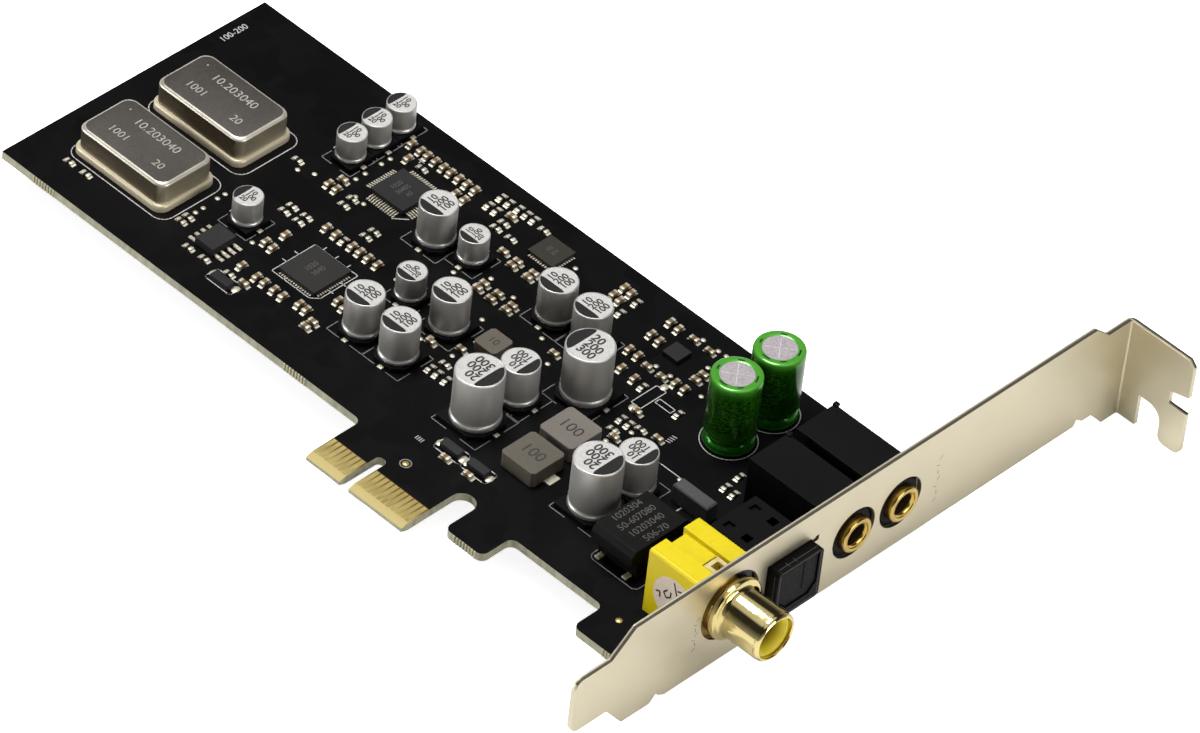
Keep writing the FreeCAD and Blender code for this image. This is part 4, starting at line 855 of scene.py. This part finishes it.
# %% Turned sockets
BARREL_FLANGE = [(3.45, 0), (5.0, 0), (5.22, 0.12), (5.3, 0.4), (5.3, 0.9), (5.2, 1.2), (4.95, 1.38),
                 (4.65, 1.42), (4.5, 1.5), (4.35, 1.7), (4.22, 1.95), (4.15, 2.2)]
BARREL_RIM = [(4.15, 1.0), (4.1, 0.9), (4.12, 0.75), (4.06, 0.4), (3.92, 0.14), (3.72, 0),
              (3.56, 0.03), (3.48, 0.12), (3.45, 0.3)]
INSULATOR_BACK = [(2.12, 0), (3.44, 0)]
INSULATOR_RIM = [(3.44, 0.06), (3.36, 0), (3.08, 0.05), (2.88, 0.25), (2.3, 1.0), (2.05, 2.6),
                 (1.8, 2.75), (1.66, 3.2), (2.12, 3.2)]
BUSH_BACK = [(1.8, 0), (3.05, 0)]
BUSH_RIM = [(3.05, 0.34), (3.0, 0.16), (2.86, 0.03), (2.7, 0), (2.34, 0), (2.26, 0.05), (2.2, 0.22),
            (2.02, 0.3), (1.88, 0.42), (1.8, 0.6)]
BUSH_BORE = 1.82


def ring_piece(node, rear, rim, finish, bore=0.0):
    low, high = islands(node)[0]
    spot = middle_of((low, high))
    place = shifted(0, spot.y, spot.z) @ ALONG_X
    profile = [(r, low.x + step) for r, step in rear] + [(r, high.x - step) for r, step in rim]
    obj = turned(node + "_finished", profile + [profile[0]], place, 64, True)
    dress(obj, (finish, BORE_SHADE), "card", [node])
    # Faces inside the bore take the painted shade.
    for face in obj.data.polygons:
        reach = math.hypot(face.center.y / MM - spot.y, face.center.z / MM - spot.z)
        face.material_index = int(reach < bore)
    return obj


ring_piece("phono_barrel", BARREL_FLANGE, BARREL_RIM, PALE_GOLD)
ring_piece("phono_insulator", INSULATOR_BACK, INSULATOR_RIM, PALE_YELLOW_SHADED)
for name in ("near_jack_bush", "far_jack_bush"):
    ring_piece(name, BUSH_BACK, BUSH_RIM, DEEP_GOLD, BUSH_BORE)

# %% [markdown]
# White print on the board outlines the parts. It is paint a few hundredths of a
# millimetre thick, so each stroke is a thin flat bar, added in edit mode to one
# mesh. A bar runs half its width past each end, so that bars meet in full corners.

# %% Silkscreen
BOARD = islands("circuit_board")[0][1].z
GAP = 0.45


def bars(name, strokes, finish, wide=0.16, lift=0.02, base=BOARD):
    """One mesh of flat bars, each from one point to another."""
    rest_hands()
    obj = linked(name, bpy.data.meshes.new(name))
    edit(obj)
    for stroke in strokes:
        ax, ay, bx, by = stroke[:4]
        across = stroke[4] if len(stroke) > 4 else wide
        length = math.hypot(bx - ax, by - ay) + across * 0.98
        bpy.ops.mesh.primitive_cube_add(
            size=1, location=((ax + bx) / 2 * MM, (ay + by) / 2 * MM, (base + lift / 2) * MM),
            rotation=(0, 0, math.atan2(by - ay, bx - ax)),
            scale=(length * MM, across * MM, lift * MM))
    rest_hands()
    return dress(obj, finish)


def path(points, closed=False):
    points = list(points) + ([points[0]] if closed else [])
    return [(*a, *b) for a, b in zip(points, points[1:])]


def arc(x, y, radius, first, last, steps=5):
    """Points along a part of a circle, in degrees."""
    turns = [math.radians(first + (last - first) * k / steps) for k in range(steps + 1)]
    return [(x + radius * math.cos(t), y + radius * math.sin(t)) for t in turns]


def rounded(x0, y0, x1, y1, radius):
    points = []
    for x, y, first in ((x0 + radius, y0 + radius, 180), (x1 - radius, y0 + radius, 270),
                        (x1 - radius, y1 - radius, 0), (x0 + radius, y1 - radius, 90)):
        points += arc(x, y, radius, first, first + 90)
    return path(points, True)


strokes, corners = [], []
for corner_set in ((-81.0, 35.2, -59.3, 48.7, 2.2), (-81.0, 18.95, -59.3, 32.45, 2.2),
                   (2.6, 15.8, 8.0, 18.6, 0.5), (8.2, 15.8, 13.6, 18.6, 0.5),
                   (-46.5, 15.6, -40.9, 18.4, 0.5), (26.5, 32.4, 36.0, 39.2, 0.8)):
    strokes += rounded(*corner_set)
for node in BASES:
    for low, high in islands(node):
        x0, y0, x1, y1 = low.x - GAP, low.y - GAP, high.x + GAP, high.y + GAP
        arm = (x1 - x0) * 0.34
        for cx, cy, sx, sy in ((x0, y0, 1, 1), (x1, y0, -1, 1), (x1, y1, -1, -1), (x0, y1, 1, -1)):
            corners += path([(cx + sx * arm, cy), (cx, cy), (cx, cy + sy * arm)])
for box in islands("tall_capacitor_sleeves"):
    spot = middle_of(box)
    strokes += path(arc(spot.x, spot.y, 4.45, 0, 360, 40))
strokes += path([(-37.7, 46.8), (-35.9, 48.6)])
strokes += path([(-40.9, 24.4), (-32.8, 24.4), (-31.6, 25.6), (-31.6, 33.6), (-40.9, 33.6)], True)
for x, y in ((-41.3, 27.5), (-41.3, 30.1), (-31.7, 27.9), (-31.7, 30.5)):
    strokes += path([(x - 0.5, y), (x + 0.5, y)])
for x, y in ((-39.3, 33.9), (-36.7, 33.9), (-34.1, 33.9), (-38.3, 24.9), (-35.6, 24.9)):
    strokes += path([(x, y - 0.5), (x, y + 0.5)])
corners += path([(34.3, 25.0), (34.3, 17.9)]) + path(arc(35.5, 17.9, 1.2, 180, 270))
corners += path([(35.5, 16.7), (43.4, 16.7), (44.0, 17.3), (44.0, 29.8)])
strokes += path([(14.9, 45.5), (16.9, 45.5), (16.9, 51.1), (14.9, 51.1)], True)
strokes += path([(17.3, 48.2), (20.5, 48.2), (20.5, 49.3), (17.3, 49.3)], True)
strokes += path(arc(2.8, 10.0, 0.88, 0, 360, 20))
print("strokes:", len(strokes))
bars("board_outlines", strokes, WHITE_PRINT)
bars("capacitor_outlines", corners, WORN_PRINT, 0.14)

# %% [markdown]
# Plus signs stand beside the capacitors, and small dashes and one row of figures
# fill the places of the board's other marks.

# %% Plus signs and figures on the board
signs = [(-0.3 + 0.4 * k, 15.0, -0.3 + 0.4 * k, 15.7) for k in range(4)]
for x, y in ((-44.3, 59.6), (-25.6, 52.4), (-18.2, 30.2), (-8.2, 37.6), (4.9, 29.6), (12.4, 39.7),
             (32.6, 30.6)):
    signs += [(x - 0.55, y, x + 0.55, y), (x, y - 0.55, x, y + 0.55)]
for x, y, count in ((-64.9, 37.2, 5), (-64.6, 40.0, 4), (24.2, 43.4, 4)):
    signs += [(x, y + 0.5 * k, x + 0.8, y + 0.5 * k + 0.15) for k in range(count)]
bars("board_signs", signs, WHITE_PRINT, 0.13)
row = joined("board_figures", [number("100-200", 1.7)])
dress(moved(row, shifted(-84.8, 58.3, BOARD + 0.01) @ spun(90)), WHITE_PRINT)

# %% [markdown]
# Bare solder lands sit between the parts: low domes where nothing was fitted, and
# broad ends under the diodes. One land is made, softened, and copied to each place.

# %% Solder lands
SMALL_LANDS = [
    (-50.1, 57.4), (-50.1, 63.1), (-47.8, 48.9), (-47.8, 50.9), (-47.8, 54.4), (-47.8, 56.3),
    (-47.4, 26.5), (-44.9, 46.0), (-42.9, 45.8), (-30.2, 45.2), (-27.8, 52.4), (-28.1, 31.9),
    (-27.3, 37.5), (-23.9, 34.2), (-22.9, 45.4), (-21.3, 36.9), (-20.2, 30.4), (-18.2, 48.8),
    (-15.4, 31.0), (-13.0, 48.4), (-11.6, 60.4), (-12.5, 41.2), (-11.2, 46.9), (-9.6, 32.0),
    (-6.5, 40.6), (-3.7, 45.2), (12.3, 63.8), (15.5, 63.8), (17.1, 59.9), (17.1, 63.9), (19.7, 40.7),
    (18.5, 36.5), (23.1, 37.6), (20.9, 54.5), (31.6, 38.9), (-52.7, 44.8), (-55.1, 43.5), (14.7, 54.2),
    (11.8, 54.1), (-57.9, 26.2), (-58.1, 29.4), (-57.9, 24.6), (-58.1, 31.0), (8.9, 41.6), (0.9, 41.8),
]
LARGE_LANDS = [
    (-46.1, 17.2), (-41.3, 17.2), (2.9, 17.2), (7.6, 17.2), (8.6, 17.2), (13.2, 17.2), (15.9, 44.9),
    (15.9, 51.7), (29.0, 35.7), (37.9, 35.7),
]
TEST_LANDS = [(46.8, 10.5), (2.8, 10.0)]


def lands(name, places, size, finish):
    one = start("land", bpy.ops.mesh.primitive_cylinder_add, vertices=16, radius=0.5 * MM,
                depth=0.14 * MM)
    edit(one)
    pick(one, "VERT", lambda c: c.z > 0)
    bpy.ops.transform.resize(value=(0.72, 0.72, 1), center_override=(0, 0, 0))
    rest_hands()
    moved(one, Matrix.Diagonal((*size, 1, 1)))
    smooth(one, 60)
    pieces = [copy_of(one, shifted(x, y, BOARD + 0.05)) for x, y in places]
    drop(one)
    return dress(joined(name, pieces), finish)


lands("small_lands", SMALL_LANDS, (0.95, 0.85), TIN)
lands("large_lands", LARGE_LANDS, (1.3, 1.7), TIN)
lands("gold_test_land", TEST_LANDS, (1.15, 1.15), GOLD_FLASH)
print("lands:", len(SMALL_LANDS) + len(LARGE_LANDS) + len(TEST_LANDS))

# %% [markdown]
# The leads of four chips end on tinned pads, drawn as short bars that run outwards:
# the flat pack's on four sides, the eight-lead chip's on two, and the two leadless
# chips' on the two sides that the camera sees.

# %% Pads of the chips
FINE_STEP, WIDE_STEP = 0.5, 1.27
FINE_PAD, WIDE_PAD = 0.26, 0.62
pads = []
x, y = -40.6, 51.9
for k in range(12):
    along = FINE_STEP * (k - 5.5)
    for way in (-1, 1):
        pads.append((x + along, y + way * 4.5, x + along, y + way * 4.95, FINE_PAD))
        pads.append((x + way * 4.5, y + along, x + way * 4.95, y + along, FINE_PAD))
x, y = -50.8, 22.0
for k in range(4):
    for way in (-1, 1):
        along = y + WIDE_STEP * (k - 1.5)
        pads.append((x + way * 2.6, along, x + way * 3.4, along, WIDE_PAD))
for x, y, half, count in ((-36.3, 29.0, 3.9, 14), (-16.2, 59.8, 2.62, 9)):
    for k in range(count):
        along = FINE_STEP * (k - (count - 1) / 2)
        pads.append((x + along, y - half - 0.1, x + along, y - half - 0.3, FINE_PAD))
        pads.append((x + half + 0.08, y + along, x + half + 0.28, y + along, FINE_PAD))
bars("chip_pads", pads, TIN, lift=0.12)
print("pads:", len(pads))

# %% [markdown]
# Under the board each lead end stands in a cone of solder.

# %% Solder under the board
one = turned("solder_cone", [(0.95, -BOARD), (0.82, -BOARD - 0.1), (0.55, -BOARD - 0.4),
                             (0.42, -BOARD - 0.85), (0.36, -BOARD - 1.1)], steps=16)
cones = []
for box in islands("lead_ends"):
    spot = middle_of(box)
    cones.append(copy_of(one, shifted(spot.x, spot.y, 0)))
drop(one)
dress(joined("solder_cones", cones), TIN)
print("solder cones:", len(cones))

# %% [markdown]
# The lower edge keeps the stubs where the board was snapped from its panel: short
# ridges of bare laminate and plating that stand out of the edge.

# %% Panel stubs
RIDGE_STEP = 0.62
ridges = []
for first, y, count in ((-79.9, 11.55, 8), (-24.6, 11.55, 8), (18.5, 4.75, 8), (49.5, 4.55, 4)):
    for k in range(count):
        x = first + RIDGE_STEP * k
        ridges.append((x, y - 0.12, x, y + 0.3, 0.26))
bars("panel_stubs", ridges, LAMINATE, lift=1.35, base=BOARD - 1.4)

# %% [markdown]
# Chip tops carry a few rows of plain figures in faint grey, and the inductors a
# larger dark number.

# %% Chip figures
def chip_figures(name, node, rows, size, finish, turn):
    low, high = islands(node)[-1]
    spot = middle_of((low, high))
    place = shifted(spot.x, spot.y, high.z + 0.004) @ spun(turn)
    pieces = []
    for k, text in enumerate(rows):
        across = ((len(rows) - 1) / 2 - k) * size * 1.15
        pieces.append(moved(number(text, size), place @ shifted(0, across, 0)))
    return dress(joined(name, pieces), finish)


for name, node, rows, size, turn in (
    ("transformer_figures", "signal_transformer",
     ("1020304", "50-607080", "10203040", "506-70"), 1.75, 90),
    ("film_figures", "film_capacitor", ("10-20",), 1.3, 0),
    ("flat_pack_figures", "flat_pack_chip", ("1020", "30405", "60"), 1.2, 90),
    ("bus_chip_figures", "bus_chip", ("1020", "3040"), 1.3, 90),
    ("converter_figures", "converter_chip", ("102", "304"), 1.0, 90),
):
    chip_figures(name, node, rows, size, FAINT_PRINT, turn)
for node, text, size in (("power_inductor", "100", 2.9), ("filter_inductor", "100", 2.9),
                         ("small_inductor", "10", 1.9)):
    chip_figures(node + "_figures", node, (text,), size, DARK_PRINT, 0)

# %% [markdown]
# The phono socket's side wears a round paper label with a few pen strokes.

# %% Label on the phono socket
side = islands("phono_housing")[0][0].y
label = start("phono_label", bpy.ops.mesh.primitive_cylinder_add, vertices=48, radius=4.15 * MM,
              depth=0.04 * MM)
moved(label, shifted(53.1, side - 0.02, 6.5) @ spun(90, "X"))
dress(smooth(label), LABEL_WHITE)
marks = []
for ax, az, bx, bz in (
    (49.5, 6.3, 50.3, 6.7), (50.3, 6.7, 50.4, 5.6), (51.0, 7.1, 51.7, 7.9), (51.0, 7.1, 51.6, 6.3),
    (51.6, 6.3, 52.4, 6.9), (52.4, 7.9, 52.4, 6.9), (52.8, 10.1, 53.8, 7.3), (53.6, 9.0, 54.4, 9.3),
):
    tilt = spun(-math.degrees(math.atan2(bz - az, bx - ax)), "Y")
    place = shifted((ax + bx) / 2, side - 0.045, (az + bz) / 2) @ tilt
    marks.append(block("mark", place, (math.hypot(bx - ax, bz - az), PRINT_THICK, 0.3)))
dress(joined("label_marks", marks), DARK_PRINT)

# %% [markdown]
# Two rows of short dashes stand for the bracket's faint stamped marks.

# %% Faint marks on the bracket
DASHES = 7
signs = []
for y, low, high in ((12.9, 2.6, 8.6), (64.7, 1.2, 9.6)):
    for k in range(DASHES):
        z = low + (high - low) * k / (DASHES - 1)
        place = shifted(FRONT + 0.01, y + 0.3 * math.sin(2.4 * k), z) @ spun(50 * (k % 3) - 40, "X")
        signs.append(block("mark", place, (PRINT_THICK, 0.14, 0.8)))
dress(joined("bracket_signs", signs), GHOST_PRINT)

# %% [markdown]
# The optical socket's nose is black on black. Its moulded lines are drawn as thin
# lighter bars, painted highlights along its edges: an inner frame, a step round
# the sides, and a small notch on top.

# %% Lines of the optical nose
low, high = islands("optical_housing")[0]
near, far, front, roof = low.y, high.y, high.x, high.z
thin, line = 0.03, 0.09
edges = []
for x0, y0, z0, x1, y1, z1 in (
    (front, near + 0.45, 0.8, front, near + 0.45, 9.2),
    (front, far - 0.45, 0.8, front, far - 0.45, 9.2),
    (front, near + 0.8, 0.5, front, far - 0.8, 0.5),
    (front, near + 0.8, 9.45, front, far - 0.8, 9.45),
    (front - 0.75, near, 1.0, front - 0.75, near, 9.0),
    (front - 0.75, near + 0.8, roof, front - 0.75, far - 0.8, roof),
    (front - 1.3, near + 2.6, roof, front - 0.4, near + 2.6, roof),
    (front - 1.3, near + 4.2, roof, front - 0.4, near + 4.2, roof),
):
    shape = (max(x1 - x0, thin if x0 == front else line), max(y1 - y0, thin if y0 == near else line),
             max(z1 - z0, thin if z0 == roof else line))
    edges.append(block("line", shifted((x0 + x1) / 2, (y0 + y1) / 2, (z0 + z1) / 2), shape))
dress(joined("nose_lines", edges), EDGE_HIGHLIGHT)

# %% [markdown]
# The studio is a sky with three soft lamps. The sky is dark around the horizon and
# bright overhead, so that metal shows a form and not one flat tone.

# %% Studio
SKY_TONES = ((0.0, 0.5), (0.3, 0.2), (0.5, 0.04), (0.8, 0.04), (0.87, 0.9), (1.0, 1.0))
SKY_STRENGTH = 0.8
LAMPS = (("key_lamp", (-0.22, 0.06, 1.0), (0, 0.04, 0), 0.4, 11.0),
         ("side_lamp", (-0.85, -0.7, 0.2), (0, 0.03, 0), 0.4, 6.0),
         ("fill_lamp", (0.8, 0.1, 0.35), (0.03, 0.03, 0), 0.5, 4.0))


def studio():
    world = bpy.data.worlds.new("studio_sky")
    bpy.context.scene.world = world
    world.use_nodes = True
    tree = world.node_tree
    tree.nodes.clear()
    out, sky, where, split, ramp = [tree.nodes.new("ShaderNode" + kind) for kind in (
        "OutputWorld", "Background", "TexCoord", "SeparateXYZ", "ValToRGB")]
    sky.inputs["Strength"].default_value = SKY_STRENGTH
    for place, tone in SKY_TONES:
        mark = ramp.color_ramp.elements.new(place)
        mark.color = (tone, tone, tone, 1)
    ramp.color_ramp.elements.remove(ramp.color_ramp.elements[0])
    ramp.color_ramp.elements.remove(ramp.color_ramp.elements[-1])
    tree.links.new(where.outputs["Generated"], split.inputs[0])
    tree.links.new(split.outputs[2], ramp.inputs[0])
    tree.links.new(ramp.outputs[0], sky.inputs["Color"])
    tree.links.new(sky.outputs[0], out.inputs[0])


def lamp(name, place, target, size, power):
    light = bpy.data.lights.new(name, "AREA")
    light.size = size
    light.energy = power
    obj = linked(name, light)
    obj.location = place
    obj.rotation_euler = (Vector(target) - Vector(place)).to_track_quat("-Z", "Y").to_euler()


studio()
for each in LAMPS:
    lamp(*each)

# %% [markdown]
# The floor is white paper. It glows for the camera only, so it stays white while
# the card still rests on a faint shadow.

# %% Floor
FLOOR_SIZE, FLOOR_GAP, FLOOR_GLOW = 6.0, 0.0001, 0.85
floor = start("floor", bpy.ops.mesh.primitive_plane_add, size=FLOOR_SIZE,
              location=(0, 0, cad_low.z - FLOOR_GAP))
paper = Finish("paper_floor", roughness=0.9)
seen = paper.node("LightPath", {}, {}, "Is Camera Ray")
fibre = paper.noise(900.0, 2.0)
paper.set(base_color=paper.mix(fibre * 0.1, (244, 244, 244), (236, 236, 236)))
paper.shader.inputs["Emission Color"].default_value = (1, 1, 1, 1)
paper.feed(paper.shader.inputs["Emission Strength"], seen * FLOOR_GLOW)
floor.data.materials.append(paper.material)

# %% [markdown]
# The camera stands where the photograph was taken: its place, turn and lens were
# solved from the board's corners and the rims of the round sockets.

# %% Camera
LENS, SENSOR, FARTHEST = 263.597, 36.0, 20.0
EYE_PLACE = (0.63679, -0.7033, 0.88592)
EYE_TURN = (47.718, -5.077, 44.619)
eye = bpy.data.cameras.new("camera")
eye.lens = LENS
eye.sensor_width = SENSOR
eye.clip_end = FARTHEST
camera = linked("camera", eye)
camera.location = EYE_PLACE
camera.rotation_euler = [math.radians(v) for v in EYE_TURN]
bpy.context.scene.camera = camera
bpy.context.scene.view_settings.view_transform = "Standard"
